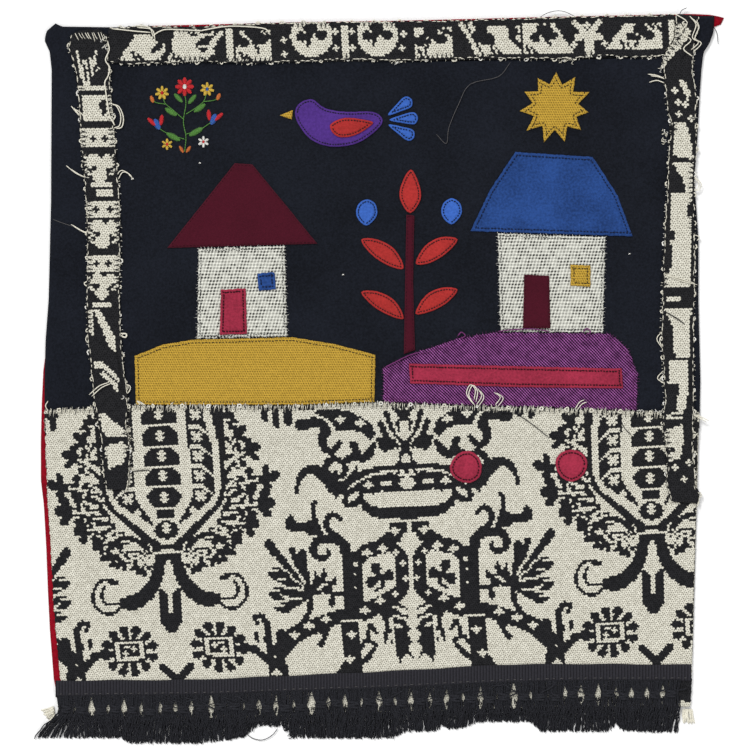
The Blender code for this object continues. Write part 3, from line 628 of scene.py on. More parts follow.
class Chart:
    """Weave cells, dark where the black yarn shows.

    Columns run to the right and rows down, in units of which a cell has step. lean says how far a row rises
    for each unit to the right.
    """

    def __init__(self, columns, rows, dark=False, step=1.0, lean=0.0):
        self.dark = np.full((rows, columns), dark)
        self.step = step
        self.column, self.row = np.meshgrid((np.arange(columns) + 0.5) * step,
                                            (np.arange(rows) + 0.5) * step)
        self.row = self.row - lean * self.column

    def at(self, column, row):
        """Whether a cell is dark, or the nearest cell where the chart has none."""
        rows, columns = self.dark.shape
        return self.dark[np.clip(row, 0, rows - 1), np.clip(column, 0, columns - 1)]

    def paint(self, mask, dark=True):
        self.dark[mask] = dark

    def polygon(self, points, dark=True):
        inside = np.zeros_like(self.dark)
        points = list(points)
        for (ax, ay), (bx, by) in zip(points, points[1:] + points[:1]):
            if ay == by:
                continue
            crosses = (self.row >= min(ay, by)) & (self.row < max(ay, by))
            inside ^= crosses & (self.column < ax + (self.row - ay) * (bx - ax) / (by - ay))
        self.paint(inside, dark)

    def stroke(self, points, start, end=None, dark=True):
        """A band along a soft curve, its width from start to end."""
        end = start if end is None else end
        line = smooth_line(points, 10)
        for index, (x, y) in enumerate(line):
            half = (start + (end - start) * index / (len(line) - 1)) / 2
            self.paint((self.column - x) ** 2 + (self.row - y) ** 2 <= half * half, dark)

    def vein(self, points):
        self.stroke(points, VEIN, dark=False)

    def turned(self, column, row, angle):
        """Where each cell lies along and across a line through (column, row) at an angle to the rows."""
        turn = math.radians(angle)
        x, y = self.column - column, self.row - row
        return x * math.cos(turn) + y * math.sin(turn), -x * math.sin(turn) + y * math.cos(turn)

    def ellipse(self, column, row, wide, high, angle=0.0, dark=True):
        along, across = self.turned(column, row, angle)
        self.paint((along / wide) ** 2 + (across / high) ** 2 <= 1, dark)

    def lobes(self, column, row, size, dark, shapes):
        """Ellipses about a spot: the x, y, width and height of each, times size."""
        for x, y, wide, high in shapes:
            self.ellipse(column + size * x, row + size * y, size * wide, size * high, dark=dark)

    def level(self, row, left, right, dark=False, rows=1):
        """A straight line of cells, rows high."""
        first = math.floor(row / self.step) * self.step
        deep = (self.row > first) & (self.row < first + rows * self.step)
        self.paint(deep & (self.column > left) & (self.column < right), dark)

    def middle(self, value):
        """The middle of the cell that value falls in."""
        return (math.floor(value / self.step) + 0.5) * self.step

    def cells_from(self, column, row):
        """How many cells each cell lies beside and above or below a spot."""
        return abs(self.column - column) / self.step, abs(self.row - row) / self.step

    def flower(self, column, row):
        """The small flower with eight petals, five cells wide, or six petals and four cells on the axis."""
        on_axis = column <= 0
        x, y = self.cells_from(0 if on_axis else self.middle(column), self.middle(row))
        if on_axis:
            self.paint(((x < 1) & (y < 2.6)) | ((x < 2) & (y > 0.5) & (y < 1.6)), False)
            return
        upright = (x > 0.5) & (x < 1.6) & (y < 2.6)
        level = (y > 0.5) & (y < 1.6) & (x < 2.6)
        self.paint(upright | level | ((x < 1.6) & (y < 1.6)), False)

    def floret(self, column, row):
        """A smaller flower for the narrow bands."""
        x, y = self.cells_from(self.middle(column), self.middle(row))
        self.paint(((x < 2.1) & (y < 0.6)) | ((x < 0.6) & (y < 2.1)) | ((x < 1.1) & (y < 1.1)), False)

    def cross(self, column, row, dark=False):
        x, y = self.cells_from(self.middle(column), self.middle(row))
        self.paint(((x < 1.6) & (y < 0.6)) | ((x < 0.6) & (y < 1.6)), dark)

    def veined(self, corners, veins):
        """A dark patch with short cream veins."""
        self.polygon(corners)
        for vein in veins:
            self.vein(vein)

    def blade(self, column, row, length, width, angle):
        """A pointed leaf from its stalk end, with a cream vein."""
        along, across = self.turned(column, row, angle)
        share = np.clip(along / length, 0, 1)
        half = width / 2 * np.sin(np.pi * share ** 0.8) ** 0.7
        self.paint((along > 0) & (along < length) & (abs(across) <= half))
        self.paint((along > 0.12 * length) & (along < 0.62 * length) & (abs(across) < 0.5), False)

    def leaf(self, root, tip, width):
        """A leaf with a round end, round lobes along both sides and cream veins."""
        root, tip = np.array(root, float), np.array(tip, float)
        along = tip - root
        length = math.hypot(*along)
        ahead = along / length
        across = np.array((-ahead[1], ahead[0]))
        self.stroke([root, root + 0.5 * along, tip - 0.2 * width * ahead], 0.42 * width, 0.5 * width)
        self.ellipse(*(tip - 0.26 * width * ahead), 0.27 * width, 0.27 * width)
        sides = ((0.34, 1, 0.56), (0.44, -1, 0.56), (0.68, 1, 0.5), (0.74, -1, 0.5))
        for share, side, reach in sides:
            base = root + share * along
            end = base + ahead * 0.24 * width + across * side * reach * width
            self.stroke([base, end], 0.34 * width, 0.36 * width)
            self.ellipse(*end, 0.22 * width, 0.2 * width)
        self.vein([root + 0.05 * along, root + 0.62 * along])
        for share, side, reach in sides[:2]:
            base = root + (share - 0.04) * along
            self.vein([base, base + ahead * 0.16 * width + across * side * reach * 0.7 * width])


def palmette(chart):
    """Stacked cells with flowers between upright cream bands, closed round at the foot."""
    x, y = chart.column, chart.row

    def within(*profile):
        return x <= np.interp(y, [point[0] for point in profile], [point[1] for point in profile], right=-1)

    chart.paint(within((0, 64), (85, 62), (100, 56), (112, 46), (124, 34), (136, 22), (142, 15), (143, 15)))
    chart.paint(within((0, 49), (12, 52), (45, 58), (88, 56), (100, 50), (110, 40), (120, 28), (130, 18),
                       (138, 8), (141, 4)), False)
    chart.paint(within((0, 42), (12, 44), (45, 51), (88, 51), (98, 44), (108, 31), (118, 17), (124, 12)))
    chart.paint(within((0, 27), (92, 28), (104, 22), (113, 16), (119, 13), (134, 12), (138, 5)), False)
    chart.paint(within((0, 17.8), (92, 17.8), (104, 10), (115, 9)))
    for line in (1.2, 21.5, 42.5, 63, 83.5, 104):
        for side in range(5):
            chart.level(line + side * UNITS_A_CELL, 9.5 + 2.0 * side, 18 if line < 90 else 12)
        chart.level(line, -1, 11)
        if line < 90:
            chart.flower(0, line + 9.5)
    for line in (20, 40, 60.5, 80.5, 99):
        if line < 90:
            chart.level(line, 28, 40, rows=2)
            for side in range(5):
                chart.level(line + (side + 1) * UNITS_A_CELL, 38 + 2.4 * side, 42 + 2.4 * side)
            chart.flower(36.5, line + 11)
    chart.flower(36.5, 10)
    chart.cross(27.5, 107)
    chart.ellipse(0, 126, 12.4, 9.4)
    chart.flower(0, 125)


def side_leaves(chart):
    """Lobed leaves with cream veins that spread from both sides of the palmette."""
    chart.polygon([(46, 0), (59, 0), (63, 40), (65, 70), (62, 92), (52, 106), (46, 108), (56, 92)])
    chart.veined([(59, 46), (73, 39), (86, 50), (82, 62), (62, 70)],
                 ([(61, 65), (77, 46)], [(69, 66), (84, 54)], [(59, 55), (69, 44)]))
    chart.veined([(60, 75), (78, 72), (93, 82), (88, 94), (62, 98)],
                 ([(62, 91), (82, 79)], [(68, 96), (90, 87)], [(61, 83), (73, 76)]))
    chart.veined([(57, 102), (76, 104), (85, 112), (72, 120), (54, 114)],
                 ([(58, 110), (78, 108)], [(60, 117), (78, 114)]))
    chart.veined([(40, 128), (52, 124), (62, 130), (56, 139), (38, 137)], ([(42, 133), (58, 130)],))
    for root, tip, width in (((58, 24), (74, 10), 13), ((58, 58), (84, 22), 15), ((60, 60), (97, 41), 17),
                             ((60, 84), (115, 70), 18), ((62, 104), (109, 97), 22),
                             ((54, 118), (92, 120), 19), ((44, 126), (75, 137), 15)):
        chart.leaf(root, tip, width)
    for y in (33, 64, 84):
        chart.vein([(58, y + 6), (68, y - 6)])
    chart.stroke([(20, 142), (34, 132), (50, 132), (60, 140)], 6.0, 4.0)
    chart.leaf((24, 146), (67, 149), 14)
    chart.leaf((22, 148), (54, 158), 12)
    chart.leaf((19, 148), (32, 168), 13)


def scrolls_below(chart):
    """Two arms under the palmette that end in outlined curls, and a bud between them."""
    chart.paint((chart.column < 15) & (chart.row > 142) & (chart.row < 146))
    chart.paint((chart.column < 15) & (chart.row > 146) & (chart.row < 149), False)
    chart.polygon([(-1, 149), (13, 149), (15, 161), (20, 173), (28, 183), (38, 188), (50, 189), (49, 201),
                   (34, 203), (26, 200), (17, 193), (10, 183), (5.5, 172), (3, 158), (-1, 153)])
    chart.stroke([(49, 197), (55, 203), (64, 204), (73, 199), (77, 189), (75, 178), (68, 171), (59, 170),
                  (52, 174)], 3.2)
    chart.stroke([(50, 194), (59, 195), (67, 191), (68, 183), (65, 177)], 3.1)
    chart.stroke([(53, 174), (60, 172)], 6.0, 5.0)
    chart.paint((chart.column < 10) & (chart.row > 185) & (chart.row < 219))
    chart.polygon([(-1, 217), (10, 217), (7, 224), (2, 229), (-1, 230)])
    chart.vein([(0, 188), (0, 207)])
    chart.polygon([(-1, 183), (7, 183), (4.5, 189), (-1, 191)], False)


def rosette(chart, column, row):
    """A round flower of fat petals with a square in its middle."""
    wide, high = 30.0, 27.0
    for angle in (8, 38, 68, 97, 128, 158, 188, 218, 248, 277, 308, 338):
        turn = math.radians(angle)
        x, y = column + 0.80 * wide * math.cos(turn), row + 0.80 * high * math.sin(turn)
        chart.stroke([(column, row), (mix(column, x, 0.6), mix(row, y, 0.6)), (x, y)], 3.2, 6.4)
        chart.ellipse(x, y, 4.9, 4.5)
    x, y = abs(chart.column - column), abs(chart.row - row)
    chart.paint((x < 16) & (y < 12))
    chart.paint((x < 13.5) & (y < 9.6), False)
    chart.paint((x < 10.4) & (y < 6.8))
    chart.cross(column - 5, row - 1)
    chart.cross(column + 4, row + 3)
    chart.level(row - 5, column - 2, column + 6)


def lower_border(chart):
    """Rosettes, a forked stalk between them and stems with curls."""
    rosette(chart, 45, 243)
    chart.stroke([(0, 330), (0, 281), (2, 275)], 11, 8)
    chart.stroke([(2, 275), (9, 268), (14, 262)], 6.4, 7.6)
    chart.stroke([(30, 240), (22, 240)], 3.2)
    chart.stroke([(94, 257), (82, 247), (68, 241)], 9, 6)
    chart.stroke([(102, 330), (102, 262), (100, 248)], 20, 17)
    chart.stroke([(98, 250), (95, 236), (96, 222), (91, 212), (84, 213), (86, 219)], 9, 3.6)
    chart.stroke([(100, 248), (107, 236), (108, 227)], 8, 7)
    chart.stroke([(84, 244), (84, 230)], 5.6, 4.4)
    chart.vein([(101, 243), (101, 231)])
    chart.vein([(88, 246), (82, 238)])
    chart.floret(105, 252)
    chart.floret(101, 269)


def from_axis(*points):
    """Chart points given as distances left of the middle axis."""
    return [(AXIS - x, y) for x, y in points]


def urn(chart):
    """A bowl with a flowered band, hooked handles, a plant in it and scrolls above."""
    a = AXIS
    chart.polygon(from_axis((-3, 103), (28, 103), (38, 101), (43, 95), (48, 98), (45, 106), (36, 112),
                            (28, 115), (-3, 115)))
    chart.polygon(from_axis((-3, 71), (34, 71), (44, 76), (49, 83), (44, 88), (34, 90), (26, 87), (-3, 87)))
    chart.polygon(from_axis((-3, 59.5), (24, 61), (44, 66), (60, 76), (67, 88), (60, 92), (50, 84),
                            (40, 75), (24, 70), (-3, 69.5)))
    chart.stroke(from_axis((-3, 67.2), (26, 68.4), (42, 73.5), (60, 84.5)), 2.8, dark=False)
    chart.ellipse(a, 79, 7.8, 6.4, dark=False)
    chart.level(77, a - 27, a - 15, rows=2)
    chart.floret(a - 38, 81)
    chart.ellipse(a - 54, 93, 12.5, 8.6, -40)
    chart.ellipse(a - 54, 92, 8, 2.6, -40, dark=False)
    # handle and spiral
    chart.stroke(from_axis((110, 87), (107, 74), (99, 66), (90, 65), (80, 72), (72, 82)), 3.5, 16)
    chart.polygon(from_axis((84, 70), (72, 94), (50, 76), (48, 58), (53, 66), (62, 76), (70, 78)))
    chart.stroke(from_axis((76, 80), (80, 68), (78, 58), (70, 54), (62, 59), (61, 68), (67, 72), (71, 67)),
                 7.6, 4.4)
    # plant on the axis
    chart.stroke(from_axis((0, 62), (0, 2)), 8.0)
    chart.ellipse(a, 27, 10, 15)
    for wide, points in ((5.4, ((6, 36), (13, 22), (17, 9))), (6.0, ((8, 42), (18, 32), (23, 19))),
                         (4.4, ((3, 12), (8, 4), (10, 1)))):
        chart.stroke(from_axis(*points), wide)
    for points in (((6, 30), (11, 16), (13, 6)), ((8, 37), (15, 27), (20, 15))):
        chart.vein(from_axis(*points))
    chart.ellipse(a - 17, 41, 9.4, 6.0, -18)
    chart.ellipse(a - 24, 36, 4.4, 3.6)
    chart.ellipse(a, 26, 5.2, 10.5, dark=False)
    chart.polygon(from_axis((-3, 46), (5, 46), (7, 56), (14, 62), (-3, 62)))
    chart.polygon(from_axis((-3, 49), (2, 49), (6, 59), (-3, 59)), False)
    # scrolls above
    chart.stroke(from_axis((103, 20), (96, 19), (88, 17), (80, 20), (76, 27)), 11, 9)
    chart.stroke(from_axis((78, 26), (82, 36), (78, 45), (71, 46), (65, 38)), 9.5, 5.0)
    chart.polygon(from_axis((92, 7), (82, 5), (66, 4), (52, 7), (42, 13), (32, 20), (28, 30), (34, 35),
                            (40, 29), (52, 25), (68, 25), (73, 15), (82, 11)))
    chart.floret(a - 62, 15)
    chart.floret(a - 44, 19)
    chart.stroke(from_axis((59, 55), (50, 51), (42, 53), (35, 48)), 7, 10)
    chart.stroke(from_axis((48, 51), (51, 39)), 9, 7)
    chart.stroke(from_axis((38, 51), (31, 40)), 8, 6)
    chart.level(0, a - 142, a - 88, True, 2)
    for x, foot, wide in ((137, 14, 9.0), (127, 21, 5.6), (115, 16, 9.0)):
        chart.stroke(from_axis((x, 2), (x - 1, foot)), wide)
    for x in (132, 121):
        chart.vein(from_axis((x, 8), (x, 16)))


def frames_below(chart):
    """Dark bands with crosses that frame a clover on each side and swoop out to the stems."""
    a = AXIS
    chart.paint((abs(a - chart.column - 11) < 9) & (chart.row > 119) & (chart.row < 130))
    chart.paint((chart.column > a - 2.4) & (chart.row > 118) & (chart.row < 131), False)
    band = from_axis((15, 132), (24, 138), (30, 143), (44, 147), (56, 158))
    chart.stroke(band, 15, 14)
    chart.stroke(from_axis((22, 140), (14, 146), (8.6, 156), (8.4, 176), (12, 188), (24, 196), (36, 202),
                           (50, 208)), 11, 17)
    chart.stroke(from_axis((58, 156), (58, 206)), 19)
    chart.stroke(from_axis((50, 209), (64, 210), (86, 216), (106, 224), (122, 232), (136, 246)), 13, 17)
    chart.polygon(from_axis((48, 166), (43, 160), (36, 155), (27, 155), (19, 161), (16.5, 172), (19, 181),
                            (27, 187), (38, 192), (48, 197)), False)
    for x, y in ((14, 126), (28, 143), (42, 149), (58, 159), (60, 171), (60, 184), (60, 197), (32, 197),
                 (48, 205), (63, 209), (86, 214), (105, 221.5), (120, 229)):
        chart.floret(a - x, y)
    for x, y in ((14, 149), (8, 160), (6.5, 175), (17, 190), (9, 207), (24, 184)):
        chart.cross(a - x, y)
    for x, y, size in ((35, 164, 5.6), (40, 178, 5.4), (22, 171, 5.4)):
        chart.ellipse(a - x, y, size, size)
        chart.stroke(from_axis((x, y), (31, 173)), 6.0)
    chart.stroke(from_axis((31, 173), (29, 182), (36, 186)), 4.6, 3.0)
    # branch with the square curl
    chart.stroke(from_axis((62, 206), (63, 160), (66, 140), (78, 134), (92, 136), (97, 146), (92, 153),
                           (83, 152), (82, 146)), 13, 4.0)
    chart.stroke(from_axis((70, 134), (80, 126), (82, 116), (76, 109), (68, 114)), 8, 4)
    chart.ellipse(a - 88, 144, 4.4, 4.0, dark=False)
    # legs
    chart.stroke(from_axis((63, 215), (64, 240), (64, 330)), 16, 18)
    chart.level(217, a - 73, a - 46, False)
    chart.polygon(from_axis((56, 256), (72, 256), (84, 270), (84, 330), (50, 330)))
    for x, y in ((63, 229), (67, 254)):
        chart.floret(a - x, y)
    chart.stroke(from_axis((58, 262), (46, 250), (40, 240), (50, 236), (54, 244)), 5.6, 3.2)
    chart.stroke(from_axis((94, 222), (90, 232), (96, 240)), 5.6, 4.4)


def plants_below(chart):
    """The leaf that hangs under the frames, a palm leaf with spread fingers and hooked leaves."""
    a = AXIS
    # hanging leaf
    chart.stroke(from_axis((46, 204), (30, 208), (26, 220), (30, 238)), 10, 4)
    chart.polygon(from_axis((32, 204), (14, 200), (4, 204), (9, 209), (3, 213), (8, 218), (2, 224),
                            (7, 230), (2, 238), (7, 243), (3, 254), (9, 249), (12, 252), (18, 262),
                            (19, 250), (24, 238), (21, 232), (27, 222)))
    for x, y in ((8, 206), (8, 215), (12, 223)):
        chart.vein(from_axis((x, y), (x + 10, y - 3)))
    chart.vein(from_axis((22, 214), (21, 246)))
    chart.stroke(from_axis((38, 228), (44, 220), (46, 232)), 5.0, 3.6)
    # palm
    root = (a - 103, 188)
    for tip, width in (((a - 141, 140), 10), ((a - 129, 153), 4.6), ((a - 118, 145), 7.0),
                       ((a - 108, 149), 9.0)):
        chart.stroke([root, (mix(root[0], tip[0], 0.5), mix(root[1], tip[1], 0.5)), tip], 5.0, width)
    for tip, bend, width in (((a - 134, 170), -1, 14), ((a - 134, 189), -1, 14), ((a - 129, 204), 1, 11)):
        chart.stroke([root, (mix(root[0], tip[0], 0.5), mix(root[1], tip[1], 0.5) + bend), tip], 9.0, width)
        chart.stroke([tip, (tip[0] - 8, tip[1])], 5.0, 3.6)
    for start, tip in (((a - 109, 182), (a - 136, 154)), ((a - 107, 177), (a - 122, 154)),
                       ((a - 110, 185), (a - 143, 179.5)), ((a - 112, 194), (a - 141, 197.5))):
        chart.vein([start, tip])
    for column, row in ((140, 166), (141, 185), (136, 201), (134, 174), (132, 191)):
        chart.stroke([(a - column, row), (a - column + 7, row + 1)], 2.2, dark=False)
    chart.stroke(from_axis((102, 180), (102, 200), (104, 208), (111, 219)), 5.0, 6)
    chart.vein(from_axis((98.5, 148), (98.5, 184)))
    chart.polygon(from_axis((98, 190), (98, 175), (95, 164), (92.4, 173), (90, 170), (87, 162), (84, 168),
                            (85.4, 175), (81, 177), (74, 171), (75, 179), (80, 183), (78, 189), (84, 190),
                            (89, 188), (94, 191)))
    chart.vein(from_axis((93, 184), (86, 179)))
    chart.stroke(from_axis((80, 199), (79, 190), (70, 189)), 5.4, 4.0)
    # hooked leaves
    chart.polygon(from_axis((91, 94), (96, 97), (98, 116), (112, 118), (117, 108), (122, 114), (124, 126),
                            (104, 126), (100, 130), (85, 130), (88, 122), (92, 112)))
    chart.stroke(from_axis((88, 214), (86, 224), (93, 240)), 5.4, 4.0)


def cloth_chart():
    chart = Chart(HALF_REPEAT, CHART_ROWS, step=UNITS_A_CELL, lean=ROW_TILT)
    side_leaves(chart)
    palmette(chart)
    scrolls_below(chart)
    lower_border(chart)
    plants_below(chart)
    frames_below(chart)
    urn(chart)
    return chart


# The woven pieces

def joined(kept):
    """The kept cells without those that meet the others only at a corner."""
    kept = kept.copy()
    for _ in range(12):
        a, b, c, d = kept[:-1, :-1], kept[:-1, 1:], kept[1:, :-1], kept[1:, 1:]
        pinched = (a & d & ~b & ~c) | (b & c & ~a & ~d)
        if not pinched.any():
            break
        for part in (a, b, c, d):
            part[pinched] = False
    return kept


class Woven:
    """A piece of figured cloth: where its cells lie and which are dark."""

    def __init__(self, edges, columns, rows, place, dark, rest, find=None):
        self.edges, self.columns, self.rows = edges, columns, rows
        self.place, self.dark, self.rest, self.find = place, dark, rest, find
        column, row = np.meshgrid(np.arange(columns[0], columns[1] + 1), np.arange(rows[0], rows[1] + 1))
        self.corner_grain = np.stack([column.ravel(), row.ravel()], axis=1).astype(float)
        tooth = lambda number: 2.0 * (number % 2) - 1.0
        x, y = place(column + SIDE_TOOTH * tooth(row), row + END_TOOTH * tooth(column))
        self.x, self.y = self.clamped(x, y)

    def clamped(self, x, y):
        """Points moved onto the cut outline where they lie outside it."""
        for _ in range(2):
            wave = 0.35 * np.sin(1.9 * y) + 0.25 * np.sin(0.83 * y + 1.0)
            x = np.clip(x, side_at(self.edges["left"], y) + wave, side_at(self.edges["right"], y) + wave)
            wave = 0.35 * np.sin(2.1 * x) + 0.3 * np.sin(0.77 * x)
            y = np.clip(y, line_at(self.edges["bottom"], x) + wave, line_at(self.edges["top"], x) + wave)
        return x, y

    def make(self, name):
        wide = self.columns[1] - self.columns[0] + 1
        high = self.rows[1] - self.rows[0] + 1
        cells = grid_faces(wide, high)
        x, y = self.x.ravel(), self.y.ravel()
        cx, cy = x[cells], y[cells]
        area = 0.5 * abs((cx[:, 0] - cx[:, 2]) * (cy[:, 1] - cy[:, 3])
                         - (cx[:, 1] - cx[:, 3]) * (cy[:, 0] - cy[:, 2]))
        kept = joined((area > SMALLEST_CELL * CELL * CELL).reshape(high - 1, wide - 1)).ravel()
        cells = cells[kept]
        column, row = np.meshgrid(np.arange(*self.columns), np.arange(*self.rows))
        column, row = column.ravel()[kept], row.ravel()[kept]
        dark = self.dark(column, row)
        middle_x, middle_y = x[cells].mean(axis=1), y[cells].mean(axis=1)
        low = self.rest(x, y) + FIGURED - CORNER_SINK + WAVE_RISE * uneven(x, y, WAVE_LENGTH)
        sunk = 0.12 * (0.5 + 0.5 * np.sin(37.0 * column + 17.0 * row))
        waves = WAVE_RISE * uneven(middle_x, middle_y, WAVE_LENGTH)
        high_z = self.rest(middle_x, middle_y) + FIGURED + waves
        high_z = high_z + np.where(dark, DARK_RISE, 1.0) * THREAD_RISE - sunk
        points = np.concatenate([np.stack([x, y, low], axis=1),
                                 np.stack([middle_x, middle_y, high_z], axis=1)])
        grain = np.concatenate([self.corner_grain, np.stack([column + 0.5, row + 0.5], axis=1)])
        centre = len(x) + np.arange(len(cells))
        faces = np.concatenate([np.stack([cells[:, (side + 1) % 4], cells[:, side], centre], axis=1)
                                for side in range(4)])
        looks = np.tile(dark.astype(int), 4)
        return cloth_piece(name, points.tolist(), faces.tolist(), looks.tolist(),
                           (FIGURED_CREAM, FIGURED_DARK), self.rest, "figured_cloth",
                           (name.replace("_cloth", ""),), grain.tolist())


HIDDEN_HEM = 5.0
# The panel is dark beside the right end of the tape: from x on, and between two y.
DARK_CORNER = (233.0, -257.0, -236.0)


def make_panel_cloth():
    """The panel in its chart's pattern, with a plain cream hem behind the tape and the knots."""
    chart = cloth_chart()

    def place(column, row):
        y = FIRST_ROW_Y - row * CELL
        left = np.interp(y, AXIS_Y, LEFT_AXIS_X)
        right = np.interp(y, AXIS_Y, RIGHT_AXIS_X)
        x = left + (right - left) * column / (2 * HALF_REPEAT)
        return x, y + ROW_TILT * (x - LEVEL_X) + 0.5 * np.sin(x / 31.0) + 0.3 * uneven(x, y, 38.0)

    def dark(column, row):
        repeat = np.abs(column + 0.5) % (2 * HALF_REPEAT)
        repeat = np.minimum(repeat, 2 * HALF_REPEAT - repeat).astype(int)
        x, y = place(column, row)
        shown = y > line_at(TAPE_BOTTOM, x) + HIDDEN_HEM
        corner = (x > DARK_CORNER[0]) & (y > DARK_CORNER[1]) & (y < DARK_CORNER[2])
        return corner | shown & chart.at(repeat, row)

    return Woven(PANEL_EDGES, (-64, 250), (-3, CHART_ROWS), place, dark, panel_rest)


def upright_strip(edges, chart, top):
    """A border strip whose rows run down from y = top, about its own middle line."""
    rows, columns = chart.dark.shape

    def middle(y):
        return 0.5 * (side_at(edges["left"], y) + side_at(edges["right"], y))

    def place(column, row):
        y = top - row * STRIP_CELL
        return middle(y) + (column - columns / 2) * STRIP_CELL, y + 0.02 * (column - columns / 2)

    def find(x, y):
        return chart.at(int((x - middle(y)) / STRIP_CELL + columns / 2), int((top - y) / STRIP_CELL))

    return Woven(edges, (-2, columns + 2), (-3, rows + 3), place, chart.at, strip_rest, find)


def level_strip(edges, chart, left):
    """The top border strip, whose columns run to the right from x = left."""
    rows, columns = chart.dark.shape

    def middle(x):
        return 0.5 * (line_at(edges["top"], x) + line_at(edges["bottom"], x))

    def place(column, row):
        x = left + column * STRIP_CELL
        return x + 0.1 * (row - rows / 2), middle(x) + (rows / 2 - row) * STRIP_CELL

    def find(x, y):
        return chart.at(int((x - left) / STRIP_CELL), int(rows / 2 - (y - middle(x)) / STRIP_CELL))

    return Woven(edges, (-2, columns + 3), (-3, rows + 3), place, chart.at, strip_rest, find)


def clover(chart, column, row, size=1.0):
    """A cream clover of three round lobes on a short stalk."""
    chart.lobes(column, row, size, False,
                ((-2.6, -3.6, 2.9, 2.7), (3.4, -3.0, 2.6, 2.6), (-0.6, 3.2, 3.0, 3.0), (0.2, 0, 2.2, 3.4)))


def dark_leaf(chart, column, row, size, bend):
    """A dark leaf of three round lobes on a bent stalk."""
    chart.lobes(column, row, size, True,
                ((-3.6, 2.6, 2.5, 1.9), (3.6, 1.9, 2.5, 1.9), (0.0, -0.6, 2.8, 2.3)))
    chart.stroke([(column, row), (column + 0.3 * bend, row + 3 * size), (column + bend, row + 6.4 * size)],
                 2.2, 1.3)


def cream_bar(chart, row, high, left=0, right=15):
    rows = (chart.row > row) & (chart.row < row + high)
    chart.paint(rows & (chart.column > left) & (chart.column < right), False)


def left_strip_chart():
    chart = Chart(15, 196, dark=True)
    for points in (((2, 9), (3, 9), (4, 14), (5.4, 12), (6.4, 19), (6, 24), (3, 24), (2, 17)),
                   ((7, 11), (8, 12), (9, 14), (10, 9), (11.4, 9), (10.6, 17), (8, 20), (7, 23))):
        chart.polygon(points, False)
    for column, row, lean in ((3.4, 12, 0.8), (5.0, 17, -0.6), (9.2, 16, -1.0), (8.2, 20, -1.0),
                              (10.4, 12, -0.4)):
        chart.stroke([(column, row), (column + lean, row + 4)], 1.2)
    cream_bar(chart, 24, 2, 0, 13)
    cream_bar(chart, 28, 11, 2, 15)
    chart.polygon(((9, 31), (12, 30), (12, 36), (10, 37)))
    cream_bar(chart, 42, 8, 0, 15)
    for row, columns in ((46, (4.5, 10)), (76, (3.5, 10)), (99, (9, 4))):
        if row > 50:
            cream_bar(chart, row - 3, 7)
        for column in columns:
            chart.cross(column + 0.5, row + 0.5, dark=True)
    clover(chart, 7.5, 59)
    for row in (54, 57, 60, 83, 86, 89, 106, 109):
        chart.stroke([(1.5, row), (3.4, row + 1.6)], 1.4, dark=False)
        chart.stroke([(13.5, row), (11.8, row + 1.6)], 1.4, dark=False)
    cream_bar(chart, 65, 1.6, 3, 12)
    cream_bar(chart, 68, 3, 5, 12)
    clover(chart, 7.5, 87)
    clover(chart, 7.5, 109, 0.9)
    cream_bar(chart, 116, 2, 3, 11)
    for points in (((3, 119), (6, 119), (12, 131), (12, 137), (9, 134), (7, 128)),
                   ((1, 119), (3, 119), (3, 130), (1, 129)),
                   ((2, 141), (6, 141), (11, 146), (12, 150), (10, 149), (6, 144), (2, 144)),
                   ((4, 146), (6, 145), (11, 151), (11, 154), (9, 152), (6, 148)),
                   ((2, 163), (4, 163), (13, 170), (13, 173), (4, 173)),
                   ((3, 177), (11, 175), (13, 178), (11, 184), (4, 187))):
        chart.polygon(points, False)
    return chart


def right_strip_chart():
    chart = Chart(14, 210, dark=True)
    for points in (((0, 6), (6, 3), (9, 8), (7, 14), (0, 24)),
                   ((7, 28), (9, 28), (11, 33), (10, 38), (8, 33)),
                   ((3, 46), (8, 46), (10, 52), (12, 62), (3, 60)),
                   ((3, 63), (12, 63), (12, 76), (9.6, 76), (8, 70)),
                   ((3, 76), (12, 76), (11.6, 112), (3, 112)), ((1, 110), (12, 110), (12, 116), (1, 116)),
                   ((1, 125), (13, 125), (12, 131), (11.6, 146), (5.6, 146), (5, 133)),
                   ((3, 147), (11, 147), (11, 157), (2, 157)), ((7, 157), (11, 157), (10, 168), (6, 168)),
                   ((2, 170), (9, 168), (9, 172), (2, 172)),
                   ((1, 177), (9, 174), (9, 181), (7, 189), (2, 190))):
        chart.polygon(points, False)
    for points in (((10, 81), (12, 80), (12, 86), (10, 86)), ((1, 92), (5, 92), (5, 96), (1, 96)),
                   ((0, 99), (4, 98), (3.6, 108), (0, 109)), ((1, 148), (3, 148), (3, 156), (1, 156)),
                   ((4, 170.4), (9, 169.4), (9, 170.4), (4, 171.4)),
                   ((2, 185), (4.6, 184), (4.6, 186), (2, 187))):
        chart.polygon(points, True)
    cream_bar(chart, 120, 1.6, 2, 8)
    for column, row in ((4, 32), (8, 38), (5, 42), (10, 44), (5, 37), (4, 192), (10, 190), (8, 197)):
        chart.cross(column + 0.5, row + 0.5)
    return chart


# Millimetres in a pixel of the photograph, and the pixel where the top strip starts.
PIXEL = 0.8
STRIP_TOP_PIXEL = 109.0


